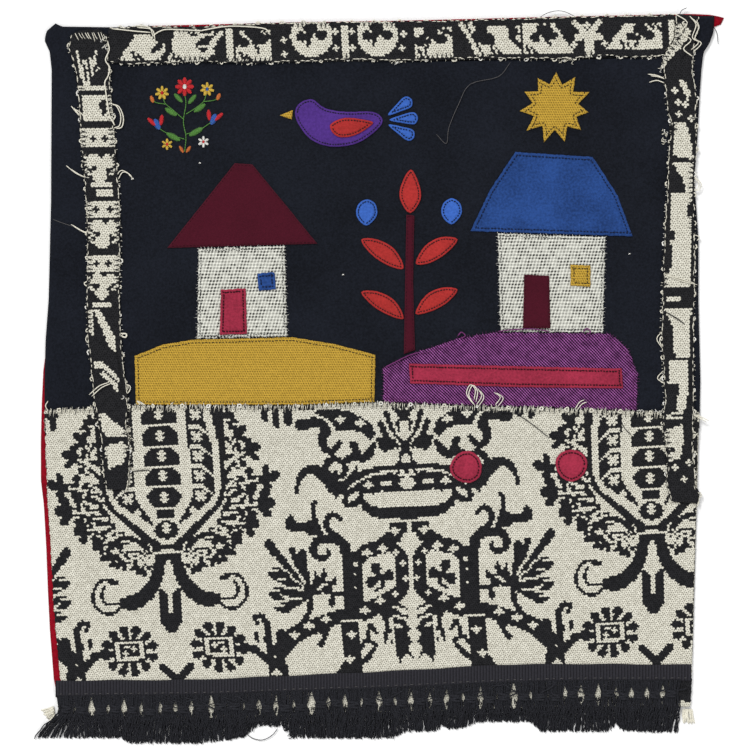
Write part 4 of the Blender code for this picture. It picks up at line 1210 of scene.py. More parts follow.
def top_strip_chart():
    chart = Chart(241, 17, dark=True)

    def at(pixel):
        """The column at a pixel of the photograph's width."""
        return (pixel - STRIP_TOP_PIXEL) * PIXEL / STRIP_CELL

    def hill(left, right, lean_left, lean_right, top=3, bottom=15):
        chart.polygon(((at(left), bottom), (at(left) + lean_left, top), (at(right) - lean_right, top),
                       (at(right), bottom)), False)
        if right - left > 25:
            for inset, low in ((3.0, 3.4), (5.6, 2.2)):
                upper = at(right) - lean_right - inset
                lower = at(left) + lean_left * 0.6 + inset
                chart.stroke([(upper, top), (upper + 2.2, top + low)], 1.3)
                chart.stroke([(lower, bottom), (lower - 1.6, bottom - low)], 1.2)

    hill(118, 165, 8, 0, 4, 15)
    chart.stroke([(at(163), 2), (at(161), 8), (at(153), 11)], 2.6)
    hill(168, 202, 1, 1, 2, 16)
    for end, row in ((214, 4), (211, 8), (213, 12)):
        chart.stroke([(at(198), row + 1.6), (at(end), row)], 1.7, 1.2, dark=False)
    chart.blade(at(196), 9, 9, 5, 8)
    chart.stroke([(at(171), 2), (at(170), 10), (at(164), 14)], 2.4)
    chart.stroke([(at(206), 14), (at(214), 8), (at(222), 4)], 2.4, 2.0, dark=False)
    hill(226, 233, 0, 0, 2, 16)
    hill(236, 272, 1, 0, 3, 16)
    dark_leaf(chart, at(253), 5, 1.1, 2.4)
    chart.stroke([(at(238), 3), (at(244), 8)], 1.5)
    for pixel, row in ((284, 7.5), (284, 13), (336, 4.5), (336, 11.5), (353, 4.5), (353, 11), (403, 5),
                       (401, 11)):
        chart.cross(math.floor(at(pixel)) + 0.5, math.floor(row) + 0.5)
    for left, right in ((291, 333), (357, 398)):
        chart.ellipse(at((left + right) / 2), 6, (at(right) - at(left)) / 2, 9, dark=False)
        dark_leaf(chart, at((left + right) / 2), 3.6, 1.1, -2.0)
    hill(342, 348, 0, 0, 2, 16)
    hill(415, 453, 0, 0, 3, 16)
    dark_leaf(chart, at(431), 5.6, 1.15, -3.0)
    chart.stroke([(at(447), 3), (at(443), 8)], 1.5)
    for start in (462, 470):
        chart.stroke([(at(start), 2), (at(start + 9), 9), (at(start + 15), 15)], 2.2, dark=False)
    hill(484, 520, 2, 0, 3, 15)
    chart.ellipse(at(484), 8, 5, 3, 20)
    hill(522, 573, 0, 8, 2, 15)
    chart.stroke([(at(513), 2), (at(512), 8), (at(520), 12)], 2.4)
    dark_leaf(chart, at(543), 5.4, 1.0, 3.0)
    chart.stroke([(at(588), 15), (at(588), 9)], 4.2, 4.6, dark=False)
    for side in (-1, 1):
        arm = [(at(588), 9), (at(588 + 6 * side), 5), (at(588 + 13 * side), 2)]
        chart.stroke(arm, 3.0, 2.0, dark=False)
        chart.ellipse(at(588 + 9 * side), 8.4, 2.6, 1.7, 30 * side, dark=False)
        chart.cross(math.floor(at(588 + 15 * side)) + 0.5, 11.5)
    chart.cross(math.floor(at(588)) + 0.5, 3.5)
    hill(604, 662, 9, 0, 3, 14)
    dark_leaf(chart, at(640), 6.0, 1.0, -2.6)
    hill(668, 700, 0, 0, 2, 16)
    return chart


# Plain sheets

def lengths_along(line):
    """How far along a line each of its points is."""
    return np.concatenate([[0.0], np.cumsum(np.linalg.norm(np.diff(line, axis=0), axis=1))])


def edge_points(edge, shares):
    edge = np.array(edge, float)
    lengths = lengths_along(edge)
    return np.stack([np.interp(shares, lengths / lengths[-1], edge[:, axis]) for axis in (0, 1)], axis=-1)


def plain_sheet(name, edges, wide, high, rest, top, slot):
    """A cloth between four uneven edges, wide by high cells. top(x, y) is its upper side."""
    across, down = np.linspace(0, 1, wide + 1), np.linspace(0, 1, high + 1)
    upper, lower = edge_points(edges["top"], across)[None], edge_points(edges["bottom"], across)[None]
    left, right = edge_points(edges["left"], down)[:, None], edge_points(edges["right"], down)[:, None]
    u, v = across[None, :, None], down[:, None, None]
    corners = [np.array(point, float)
               for point in (edges["top"][0], edges["top"][-1], edges["bottom"][0], edges["bottom"][-1])]
    spot = (mix(upper, lower, v) + mix(left, right, u)
            - mix(mix(corners[0], corners[1], u), mix(corners[2], corners[3], u), v)).reshape(-1, 2)
    x, y = spot[:, 0], spot[:, 1]
    border = np.ones((high + 1, wide + 1), bool)
    border[1:-1, 1:-1] = False
    z = top(x, y) - 0.35 * border.ravel()
    faces = grid_faces(wide + 1, high + 1)[:, ::-1]
    return cloth_piece(name, np.stack([x, y, z], axis=1).tolist(), faces.tolist(), [0] * len(faces),
                       (CLOTHS[slot],), rest, slot, (name.replace("_cloth", ""),))


# The folded corner of the ground.
FOLD_CENTRE = (-266, 276)
FOLD_RADIUS = 15.0
FOLD_RISE = 1.4
# Cells of the plain sheets, across and down.
BACKING_CELLS = (90, 90)
GROUND_CELLS = (170, 110)
# Soft creases of the ground: from (x, y) to (x, y), half width, and height of the ridge.
CREASES = (
    ((-152, 250), (-160, 180), 9, 0.22), ((-96, 245), (-84, 182), 12, -0.3),
    ((-30, 248), (-34, 228), 10, 0.2), ((64, 246), (70, 186), 14, -0.3), ((104, 244), (98, 196), 9, 0.22),
    ((196, 240), (206, 130), 12, 0.22), ((204, 120), (212, 20), 12, -0.3),
    ((-196, 160), (-186, 60), 12, -0.3), ((-178, 96), (-190, 40), 9, 0.2),
    ((-252, 240), (-256, 90), 7, 0.25), ((-250, 80), (-258, -20), 6, -0.3), ((0, 240), (40, 214), 14, -0.2),
    ((-205, 236), (-120, 246), 7, -0.3), ((90, 246), (220, 238), 7, -0.25),
)


def crease_height(x, y):
    total = np.zeros_like(x)
    for (ax, ay), (bx, by), half, height in CREASES:
        length = math.dist((ax, ay), (bx, by))
        ux, uy = (bx - ax) / length, (by - ay) / length
        along = np.clip((x - ax) * ux + (y - ay) * uy, 0, length)
        across = np.hypot(x - ax - along * ux, y - ay - along * uy)
        total += height * np.exp(-(across / half) ** 2)
    return total


def make_backing():
    piece = plain_sheet("backing_cloth", BACKING_EDGES, *BACKING_CELLS, lambda x, y: 0.0,
                        lambda x, y: BACKING + 0.12 * uneven(x, y, 30.0) - 0.12, "backing_red")


def make_ground():
    def top(x, y):
        fold = FOLD_RISE * ease(1.0 - np.hypot(x - FOLD_CENTRE[0], y - FOLD_CENTRE[1]) / FOLD_RADIUS)
        return ground_rest(x, y) + GROUND + fold + crease_height(x, y) + 0.06 * uneven(x, y, 23.0)

    piece = plain_sheet("ground_cloth", GROUND_EDGES, *GROUND_CELLS, ground_rest, top, "ground_black")


# Applied shapes

def round_outline(corners):
    """A closed smooth curve through the corners."""
    count, steps = len(corners), 4
    outline = []
    for index in range(count):
        before, start, end, after = (np.array(corners[(index + shift) % count], float)
                                     for shift in (-1, 0, 1, 2))
        outline += [tuple(curve_point(before, start, end, after, step / steps)) for step in range(steps)]
    return outline


def tail_corners(angle):
    turn = math.radians(angle)
    corners = []
    for distance, side in ((0.0, 0.0), (0.5, -0.36), (0.86, -0.48), (1.0, 0.0), (0.86, 0.48), (0.5, 0.36)):
        out, across = TAIL_START + distance * TAIL_LENGTH, side * TAIL_WIDTH
        corners.append((TAIL_ROOT[0] + out * math.cos(turn) - across * math.sin(turn),
                        TAIL_ROOT[1] + out * math.sin(turn) + across * math.cos(turn)))
    return corners


def sun_outline():
    outline = []
    for index in range(2 * SUN_RAYS):
        turn = math.pi * index / SUN_RAYS + 0.12
        radius = SUN_OUTER - 1.6 * math.cos(2.7 * index) if index % 2 else SUN_INNER
        outline.append((SUN_CENTRE[0] + radius * math.cos(turn), SUN_CENTRE[1] + radius * math.sin(turn)))
    return outline


def even_points(outline, spacing):
    """Points about spacing apart round a closed outline, its corners kept."""
    points = []
    for start, end in zip(outline, outline[1:] + outline[:1]):
        steps = max(1, round(math.dist(start, end) / spacing))
        points += [(mix(start[0], end[0], step / steps), mix(start[1], end[1], step / steps))
                   for step in range(steps)]
    return np.array(points)


def signed_area(outline):
    """The area inside a closed outline, negative where it runs clockwise."""
    x, y = outline.T
    return 0.5 * np.sum(x * np.roll(y, -1) - y * np.roll(x, -1))


def outward(points):
    """The unit normals of a closed outline, pointing out of it."""
    along = np.roll(points, -1, axis=0) - np.roll(points, 1, axis=0)
    along /= np.maximum(np.linalg.norm(along, axis=1), 1e-9)[:, None]
    return np.stack([along[:, 1], -along[:, 0]], axis=1) * (1 if signed_area(points) > 0 else -1)


def edge_distance(x, y, outline):
    """How far each point is from a closed outline."""
    nearest = np.full(len(x), 1e9)
    for (ax, ay), (bx, by) in zip(outline, np.roll(outline, -1, axis=0)):
        dx, dy = bx - ax, by - ay
        share = np.clip(((x - ax) * dx + (y - ay) * dy) / max(dx * dx + dy * dy, 1e-9), 0, 1)
        nearest = np.minimum(nearest, np.hypot(x - ax - share * dx, y - ay - share * dy))
    return nearest


def inside(x, y, outline):
    result = np.zeros(len(x), bool)
    for (ax, ay), (bx, by) in zip(outline, np.roll(outline, -1, axis=0)):
        if ay != by:
            crosses = (y >= min(ay, by)) & (y < max(ay, by))
            result ^= crosses & (x < ax + (y - ay) * (bx - ax) / (by - ay))
    return result


# How each cloth is sewn down: thread, inset of the line, stitch length, stitch radius, how ragged its
# edge is.
SEWING = {
    "felt_mustard": ("black", 2.6, 2.6, 0.42, 0.25),
    "twill_purple": ("plum", 2.8, 2.4, 0.36, 0.8),
    "cloth_pink_red": ("wine", 2.4, 2.3, 0.66, 0.3),
    "felt_maroon": ("wine", 1.2, 2.8, 0.16, 0.12),
    "cloth_blue": ("navy", 2.6, 2.6, 0.6, 0.35),
    "scrim_cream": ("black", 2.0, 2.2, 0.38, 0.7),
    "felt_purple": ("black", 1.8, 2.2, 0.5, 0.15),
    "felt_orange_red": ("black", 1.9, 2.2, 0.5, 0.15),
    "felt_bright_blue": ("navy", 1.8, 2.2, 0.56, 0.15),
}


# Spacing of the points at the rim of a shape, and inside a large and a small one.
RIM_SPACING = 1.3
WIDE_SPACING = 1.25
FINE_SPACING = 0.9
LARGE_SHAPE = 60
# How far its edge rounds off, and the dent along its line of stitches.
EDGE_ROUNDING = 0.55
SEAM_DEPTH = 0.38
SEAM_WIDTH = 0.75
# How ragged a cloth's edge is at the least when threads stick out of it.
FRAYS_FROM = 0.5


def applied_shape(name, outline, slot, level, thickness, sewn=True):
    """A cut cloth sewn on: its upper side sinks along the line of stitches and rounds off at its edge."""
    thread, inset, length, radius, ragged = SEWING[slot]
    rim = even_points(outline, RIM_SPACING)
    normals = outward(rim)
    seed = 0.13 * sum(map(ord, name))
    x, y = rim.T
    wander = ragged * (0.6 * uneven(x, y, 7.0, seed) + 0.7 * uneven(x, y, 2.9, seed + 1))
    rim = rim + normals * (wander - 0.3 * ragged)[:, None]
    low, high = rim.min(axis=0), rim.max(axis=0)
    spacing = WIDE_SPACING if (high - low).max() > LARGE_SHAPE else FINE_SPACING
    x, y = np.meshgrid(np.arange(low[0], high[0], spacing), np.arange(low[1], high[1], spacing * 0.87))
    x = x + (np.arange(x.shape[0]) % 2)[:, None] * spacing / 2
    x, y = x.ravel(), y.ravel()
    kept = inside(x, y, rim)
    x, y = x[kept], y[kept]
    kept = edge_distance(x, y, rim) > 0.45 * spacing
    x, y = x[kept], y[kept]
    flat = [tuple(point) for point in rim] + list(zip(x.tolist(), y.tolist()))
    border = list(range(len(rim)))
    points, _, faces, *_ = delaunay_2d_cdt(flat, [], [border], 1, 1e-5)
    px = np.array([point[0] for point in points])
    py = np.array([point[1] for point in points])
    distance = edge_distance(px, py, rim)
    z = level(px, py) + thickness - EDGE_ROUNDING * np.exp(-(distance / EDGE_ROUNDING) ** 2)
    if sewn:
        z -= SEAM_DEPTH * np.exp(-((distance - inset) / SEAM_WIDTH) ** 2)
    z += 0.14 * uneven(px, py, 17.0, seed) * ease(distance / 4.0)
    piece = cloth_piece(name + "_cloth", np.stack([px, py, z], axis=1).tolist(), faces, [0] * len(faces),
                        (CLOTHS[slot],), level, slot, (name,))
    stitches = Threads()
    if sewn:
        upper = lambda a, b: level(a, b) + thickness
        sew_round(stitches, rim, normals, inset, length, radius, thread, upper)
    if ragged > FRAYS_FROM:
        fray_round(stitches, rim, normals, "plum" if slot == "twill_purple" else "white", level, thickness)
    if stitches.points:
        stitches.make(name + "_stitches", slot)
    width, height = (high - low) * MILLIMETRE
    width, height = max(float(width), 0.0101), max(float(height), 0.0101)


def sew_round(stitches, rim, normals, inset, length, radius, thread, top):
    """Uneven running stitches a little inside the edge."""
    line = rim - normals * inset
    x, y = line[:, 0], line[:, 1]
    good = inside(x, y, rim) & (edge_distance(x, y, rim) > 0.7 * inset)
    steps = lengths_along(line)
    travelled = 0.0
    while travelled < steps[-1] - length:
        reach = length * CHANCE.uniform(0.68, 0.92)
        marks = [travelled + reach * share for share in (0.0, 0.3, 0.7, 1.0)]
        spot = [(np.interp(m, steps, x), np.interp(m, steps, y)) for m in marks]
        if good[int(np.interp(travelled, steps, np.arange(len(x))))]:
            side = CHANCE.uniform(-0.35, 0.35)
            lift = (-0.45, 0.12, 0.12, -0.45)
            stitches.add([(a + side * (i - 1.5) / 3, b + side * (i - 1.5) / 3, float(top(a, b)) - 0.2 + up)
                          for i, ((a, b), up) in enumerate(zip(spot, lift))], radius, thread)
        travelled += length * CHANCE.uniform(0.92, 1.12)


def fray_round(stitches, rim, normals, colour, level, thickness):
    """Thread ends that stick out of a loosely woven edge."""
    for index in range(0, len(rim), 2):
        (x, y), (nx, ny) = rim[index], normals[index]
        reach = CHANCE.uniform(0.5, 2.2)
        lean = CHANCE.uniform(-1.0, 1.0)
        z = float(level(x, y)) + thickness * CHANCE.uniform(0.3, 0.8)
        bend = (x + nx * 0.3 * reach + ny * lean * 0.3, y + ny * 0.3 * reach - nx * lean * 0.3, z)
        tip = (x + nx * reach + ny * lean, y + ny * reach - nx * lean, z - 0.3)
        stitches.add([(x - nx, y - ny, z), bend, tip], 0.17, colour, 3)


def make_picture():
    on_ground = lambda x, y: ON_GROUND + 0.0 * x
    on_shape = lambda x, y: ON_SHAPE + 0.0 * x
    for name, (slot, corners) in FLAT_SHAPES.items():
        applied_shape(name, list(corners), slot, on_ground, APPLIED, name != "beak")
    for name, (slot, corners) in ROUND_SHAPES.items():
        applied_shape(name, round_outline(corners), slot, on_ground, APPLIED)
    for name, angle in TAIL_ANGLES.items():
        applied_shape(name, round_outline(tail_corners(angle)), "felt_bright_blue", on_ground, APPLIED)
    applied_shape("sun", sun_outline(), "felt_mustard", on_ground, APPLIED)
    for name, (slot, corners) in DETAIL_SHAPES.items():
        outline = round_outline(corners) if name in ROUND_DETAILS else list(corners)
        applied_shape(name, outline, slot, on_shape, DETAIL)
    for name, (x, y) in DOTS.items():
        turns = [2 * math.pi * side / 40 for side in range(40)]
        outline = [(x + DOT_RADIUS * (1 + 0.03 * math.sin(3 * turn + x)) * math.cos(turn),
                    y + DOT_RADIUS * (1 + 0.03 * math.sin(3 * turn + x)) * math.sin(turn))
                   for turn in turns]
        applied_shape(name, outline, "cloth_pink_red", lambda a, b: panel_top(a, b) + GAP, DETAIL)


# Loose threads and edge stitches

def walk(line, spacing):
    """Points and directions along an open line, unevenly spaced."""
    line = np.array(line, float)
    lengths = lengths_along(line)
    travelled = 0.5 * spacing
    while travelled < lengths[-1]:
        spot, ahead, back = ([float(np.interp(place, lengths, line[:, axis])) for axis in (0, 1)]
                             for place in (travelled, travelled + 1.0, travelled - 1.0))
        span = max(math.dist(back, ahead), 1e-6)
        yield spot[0], spot[1], (ahead[0] - back[0]) / span, (ahead[1] - back[1]) / span
        travelled += spacing * CHANCE.uniform(0.8, 1.2)


def stitch_over(stitches, points, lifts, radius, colour):
    """A stitch through the points, each lifted off a strip."""
    line = [(x, y, float(strip_top(x, y)) + up) for (x, y), up in zip(points, lifts)]
    stitches.add(line, radius, colour, 3)


def overcast(stitches, cloth, edge, side):
    """Slanting black stitches where the cloth's edge is cream, and cream dashes where it is dark.

    side is 1 where the cloth lies left of the edge's direction and -1 where it lies right of it.
    """
    dash_wait = 0
    for step, (x, y, dx, dy) in enumerate(walk(edge, OVERCAST_PITCH)):
        nx, ny = -dy * side, dx * side
        is_dark = bool(cloth.find(x + 2.5 * nx, y + 2.5 * ny))
        if not is_dark:
            reach = CHANCE.uniform(3.2, 5.4)
            lean = CHANCE.uniform(1.0, 2.0) * (1 if step % 2 else -0.7)
            points = [(x + nx * share * reach + dx * lean * share,
                       y + ny * share * reach + dy * lean * share)
                      for share in (0.05, 0.5, 1.0)]
            stitch_over(stitches, points, (0.05, 0.42, 0.1), 0.48, "black")
            continue
        dash_wait -= 1
        if dash_wait <= 0:
            dash_wait = CHANCE.choice((1, 2, 2, 3))
            reach = CHANCE.uniform(2.0, 4.4)
            inset = CHANCE.uniform(-0.2, 1.0)
            points = [(x + nx * inset + dx * share * reach, y + ny * inset + dy * share * reach)
                      for share in (0, 0.5, 1)]
            stitch_over(stitches, points, (0.0, 0.35, 0.0), CHANCE.uniform(0.38, 0.62), "cream")


def tangles(stitches, edge, spacing, size, top):
    """Small lumps of curled yarn along an edge."""
    for x, y, _, _ in walk(edge, spacing):
        reach = size * CHANCE.uniform(0.6, 1.3)
        for loop in range(3):
            turn = CHANCE.uniform(0, 2 * math.pi)
            line = [(x + reach * math.cos(turn + 1.9 * corner), y + reach * math.sin(turn + 1.9 * corner),
                     0.4 + 0.25 * loop)
                    for corner in range(4)]
            radius = CHANCE.uniform(0.36, 0.56)
            stitches.curve(line, radius, CHANCE.choice(("cream", "cream", "white")), 3, 4, top)


FRAY_COLOURS = ("cream", "cream", "white", "black")


def frays(stitches, edge, side, spacing, reach, top):
    """Short curled thread ends along a cut edge."""
    for x, y, dx, dy in walk(edge, spacing):
        nx, ny = dy * side, -dx * side
        out, lean = CHANCE.uniform(0.3, 1.0) * reach, CHANCE.uniform(-1.0, 1.0) * reach
        level = float(top(x, y))
        root = (x - 1.4 * nx, y - 1.4 * ny, level + 0.1)
        bend = (x + 0.3 * out * nx + 0.7 * lean * dx, y + 0.3 * out * ny + 0.7 * lean * dy, level + 0.4)
        tip = (x + out * nx + 0.4 * lean * dx, y + out * ny + 0.4 * lean * dy, level - 0.5)
        stitches.curve([root, bend, tip], CHANCE.uniform(0.18, 0.34), CHANCE.choice(FRAY_COLOURS), 3, 3)


OVERCAST_PITCH = 1.9
# Loose yarns: colour, radius, how many lie side by side, what they lie on, and the points they pass.
LOOSE_YARNS = (
    ("cream", 0.62, 1, "strip", ((-219, 268), (-218, 262), (-221, 254), (-217.5, 248), (-219, 241),
                                 (-221.5, 236), (-220.5, 227), (-219, 217), (-217.5, 209), (-213.5, 202))),
    ("cream", 0.55, 2, "ground", ((-217, 219.5), (-212.5, 217.5), (-209, 210), (-210, 202), (-214.5, 200))),
    ("cream", 0.5, 3, "ground", ((-240, 208), (-244, 212), (-248.5, 217.5))),
    ("cream", 0.5, 3, "ground", ((-238, 161), (-245, 164), (-252.5, 170))),
    ("cream", 0.45, 2, "ground", ((-213, 161), (-209, 166), (-204, 164.5), (-201, 161))),
    ("cream", 0.5, 2, "ground", ((-235, 116), (-240, 118), (-248.5, 123))),
    ("grey", 0.28, 1, "ground", ((-246, 121), (-255, 124), (-263, 127))),
    ("cream", 0.45, 1, "ground", ((-233, 27), (-237, 31), (-234, 36), (-230, 33))),
    ("cream", 0.8, 1, "ground", ((-208, 36), (-204.5, 35.5), (-205, 33), (-208, 33.5))),
    ("cream", 0.5, 2, "strip", ((-234, -13), (-226, -6), (-218, -3))),
    ("cream", 0.5, 2, "ground", ((-216, -3.5), (-204, -5), (-205, -10), (-214, -11.5))),
    ("black", 0.45, 1, "panel", ((-210, -77), (-198, -74), (-186, -73))),
    ("cream", 0.6, 1, "strip", ((-216, 279), (-206, 278), (-197, 277), (-185, 276))),
    ("cream", 0.55, 2, "strip", ((-197, 281.5), (-186, 280), (-183, 272.5))),
    ("cream", 0.6, 1, "strip", ((-183, 273.5), (-177.5, 277), (-170, 278.5), (-146, 277.5), (-142, 278),
                                (-122, 281), (-96, 279.5), (-90, 275.5))),
    ("grey", 0.25, 1, "ground", ((102, 252.4), (92.4, 241), (70, 235), (61, 219.6), (53, 200.4),
                                 (51, 187.6), (43, 195))),
    ("grey", 0.3, 1, "ground", ((122, 286), (132, 292), (143, 293.5), (154, 289))),
    ("black", 0.35, 1, "ground", ((237, 290), (239, 294), (243, 296))),
    ("black", 0.35, 1, "ground", ((264, 281), (267, 276), (268, 267))),
    ("cream", 0.5, 2, "ground", ((226, 239), (219, 242), (212, 243))),
    ("cream", 0.5, 1, "ground", ((225, 236), (219, 238), (213, 236.5))),
    ("cream", 0.55, 1, "strip", ((233, 291), (243, 284), (238, 276), (246, 270), (240, 263), (247, 257))),
    ("cream", 0.5, 2, "strip", ((245, 289), (250, 282), (247, 272), (252, 268), (246, 262))),
    ("black", 0.4, 1, "strip", ((236, 286), (241, 278), (235, 270), (242, 262), (238, 255))),
    ("cream", 0.45, 2, "ground", ((247, 162), (252.5, 156), (251, 151), (246, 152))),
    ("cream", 0.45, 1, "ground", ((248, 115), (253, 113), (251, 110))),
    ("cream", 0.45, 2, "ground", ((225, 39), (219, 32), (223.5, 24))),
    ("cream", 0.45, 2, "ground", ((225, 7), (219.5, 0), (228, -5))),
    ("cream", 0.4, 2, "strip", ((224, 83.5), (236, 80), (249, 76))),
    ("black", 0.5, 1, "strip", ((226, 53), (233, 49), (241, 43.5))),
    ("cream", 0.5, 3, "panel", ((242, -27), (249, -29), (256, -33))),
    ("cream", 0.5, 2, "shape", ((72, -20), (67, -12), (70, -5), (74, -9), (73, -17))),
    ("cream", 0.45, 2, "shape", ((75, -21), (79, -14), (76, -8))),
    ("cream", 0.45, 2, "shape", ((90, -21), (94, -15), (89, -11))),
    ("cream", 0.45, 2, "shape", ((154, -24), (157, -19), (161, -17))),
    ("cream", 0.55, 2, "ground", ((-197, -26), (-193, -22), (-196, -18), (-191, -20))),
    ("cream", 0.5, 1, "ground", ((-266, -28), (-269, -22), (-267, -18))),
    ("black", 0.4, 1, "panel", ((94, -27), (106, -28), (120, -37), (132.5, -47))),
    ("black", 0.4, 1, "panel", ((188.5, -28), (192, -38), (198, -45))),
    ("plum", 0.6, 1, "shape", ((2, 9), (10, 13), (20, 18), (29, 21))),
    ("plum", 0.55, 1, "shape", ((92, 37.5), (104, 39), (120, 39.5), (134, 37.5))),
    ("plum", 0.6, 1, "shape", ((60, 34), (63, 37), (66, 34), (62, 32))),
    ("plum", 0.6, 1, "shape", ((160, 37), (163, 40), (166, 37), (162, 35))),
    ("white", 0.5, 1, "ground", ((-200.4, 158.8), (-199.6, 159.8), (-198.6, 159.2))),
    ("white", 0.4, 1, "ground", ((-146.6, 171.6), (-145.8, 172.4), (-145.2, 171.6))),
    ("white", 0.4, 1, "ground", ((-32.2, 82.4), (-31.4, 83.2), (-30.8, 82.6))),
    ("white", 0.35, 1, "ground", ((196.4, 99.0), (197.2, 99.8), (198.0, 99.4))),
)
# Clumps of fuzz: centre, width, height, threads, what they lie on.
FUZZ = (
    ((9, 253), 7, 6, 12, "ground"), ((147, 254.5), 9, 6, 14, "ground"), ((225.5, 193), 5, 11, 12, "ground"),
    ((-205, -20), 6, 14, 14, "panel"), ((-203.5, -48), 5, 26, 18, "panel"),
    ((-203.5, -70), 4, 16, 10, "panel"), ((-246, 262), 4, 10, 7, "ground"), ((-221, 268), 5, 8, 8, "strip"),
    ((225, 250), 5, 9, 10, "ground"), ((250, -30), 9, 6, 10, "panel"), ((-164, -22), 18, 3, 10, "panel"),
    ((214, -27), 24, 3, 14, "panel"),
)


def make_threads(cloths):
    """Overcast edges, frays and loose yarns of the strips and of the panel's top edge."""
    tops = {"ground": lambda x, y: ON_GROUND, "shape": lambda x, y: ON_SHAPE, "strip": strip_top,
            "panel": panel_top}
    edges = Threads()
    for cloth, edge, side in (("strip_left", STRIP_LEFT_EDGES["left"], 1),
                              ("strip_left", STRIP_LEFT_EDGES["right"], -1),
                              ("strip_top", STRIP_TOP_EDGES["bottom"], 1),
                              ("strip_top", STRIP_TOP_EDGES["top"], -1),
                              ("strip_right", STRIP_RIGHT_EDGES["left"], 1),
                              ("strip_right", STRIP_RIGHT_EDGES["right"], -1)):
        overcast(edges, cloths[cloth], edge, side)
        frays(edges, edge, side, 4.0, 1.9, strip_rest)
        tangles(edges, edge, 19.0, 1.7, strip_rest)
    edges.make("strip_edge_stitches", "cream_yarn")
    seam = Threads()
    for step, (x, y, _, _) in enumerate(walk(PANEL_EDGES["top"], 1.25)):
        below, above = CHANCE.uniform(2.0, 5.2), CHANCE.uniform(0.3, 2.2)
        lean = CHANCE.uniform(-0.6, 1.6)
        level = float(panel_top(x, y - 2))
        seam.add([(x, y - below, level + 0.1), (x + 0.5 * lean, y - 0.5, level + 0.5),
                  (x + lean, y + above, level - 0.7)],
                 0.36, "black" if step % 3 == 2 else "cream", 3)
    frays(seam, PANEL_EDGES["top"], -1, 2.6, 2.8, panel_top)
    tangles(seam, PANEL_EDGES["top"], 24.0, 1.5, panel_top)
    seam.make("panel_edge_stitches", "cream_yarn")
    loose = Threads()
    for colour, radius, count, lies_on, points in LOOSE_YARNS:
        for copy in range(count):
            shift = copy * 1.9
            line = [(x + shift * CHANCE.uniform(0.7, 1.2), y - shift * CHANCE.uniform(0.2, 1.0),
                     radius + 0.25 + 0.3 * copy)
                    for x, y in points]
            loose.curve(line, radius, colour, 4, 4, tops[lies_on])
    for (x, y), wide, high, count, lies_on in FUZZ:
        for _ in range(count):
            a, b = x + wide * CHANCE.uniform(-0.5, 0.5), y + high * CHANCE.uniform(-0.5, 0.5)
            line = [(a, b, 0.3)]
            for _ in range(3):
                a, b = a + CHANCE.uniform(-1.8, 1.8), b + CHANCE.uniform(-1.8, 1.8)
                line.append((a, b, CHANCE.uniform(0.3, 1.2)))
            loose.curve(line, CHANCE.uniform(0.2, 0.34), CHANCE.choice(("cream", "white", "cream")), 3, 3,
                        tops[lies_on])
    for step in range(9):
        x = -245.5 + 2.6 * step + CHANCE.uniform(-0.7, 0.7)
        drop = CHANCE.uniform(-1.6, 1.2)
        loose.curve([(x, 275.5 + 0.1 * step, 0.3), (x + 1.6, 272.6 + 0.5 * drop, 0.8),
                     (x + 3.0 + 0.4 * drop, 270.4 + drop, 0.3)],
                    CHANCE.uniform(0.3, 0.5), "cream", 3, 3, strip_top)
    loose.make("loose_yarns", "cream_yarn")


# Embroidery

def satin(threads, x, y, wide, high, angle, colour):
    """An ellipse filled with stitches that lie side by side across its width."""
    turn = math.radians(angle)
    count = max(2, round(2 * high / 0.85))
    for step in range(count):
        along = (2 * (step + 0.5) / count - 1) * high
        half = wide * math.sqrt(max(1 - (along / high) ** 2, 0.04)) + CHANCE.uniform(-0.15, 0.15)
        line = []
        for share, up in ((-1, 0.0), (-0.5, 0.42), (0.5, 0.42), (1, 0.0)):
            line.append((x + half * share * math.cos(turn) - along * math.sin(turn),
                         y + half * share * math.sin(turn) + along * math.cos(turn), ON_GROUND + 0.1 + up))
        threads.add(line, 0.5, colour, 4)


def stem_stitch(threads, points, colour, radius=0.5):
    line = smooth_line(points, 6)
    for (ax, ay), (bx, by) in zip(line, line[1:]):
        if math.dist((ax, ay), (bx, by)) > 0.05:
            threads.add([(ax, ay, ON_GROUND + 0.1),
                         (mix(ax, bx, 0.6), mix(ay, by, 0.6) + 0.15, ON_GROUND + 0.55),
                         (mix(ax, bx, 1.4), mix(ay, by, 1.4), ON_GROUND + 0.1)], radius, colour, 4)


SPRIG_CENTRE = (-158.0, 211.0)
# The sprig's parts about its centre: x, y, half width, half length, lean, colour.
SPRIG_SATIN = (
    (-9, -18, 2.4, 6.0, 62, "green"), (9, -14, 2.4, 6.0, -60, "green"), (-11, 2, 2.2, 5.4, 58, "green"),
    (12, 5, 2.2, 5.4, -55, "green"), (-5, 13, 1.9, 4.6, 44, "green"), (6, 12, 1.9, 4.6, -40, "green"),
    (-22, -8, 2.6, 4.6, 24, "blue"), (-26.4, -6, 1.8, 4.2, 48, "red"), (-18.6, -4.6, 1.8, 4.2, -8, "red"),
    (23, -4, 2.6, 4.6, -24, "blue"), (27.2, -2, 1.8, 4.2, -48, "red"), (19.4, -0.6, 1.8, 4.2, 6, "red"),
    (-2.6, -28, 1.3, 3.0, 30, "orange"), (3, -28, 1.3, 3.0, -34, "orange"),
    (-26, 12, 1.6, 2.8, 20, "orange"), (27, 14, 1.6, 2.8, -24, "orange"),
)
SPRIG_STEMS = (
    ((0, -30), (1, -18), (-1, -6), (1, 8), (0, 16)), ((0, -20), (-10, -17), (-18, -13), (-21, -10)),
    ((1, -16), (11, -13), (19, -8), (22, -6)), ((-1, -4), (-9, 3), (-15, 8), (-17, 12)),
    ((1, 0), (9, 5), (15, 10), (17, 15)), ((-15, 8), (-22, 9), (-26, 11)), ((15, 10), (23, 11), (27, 13)),
)
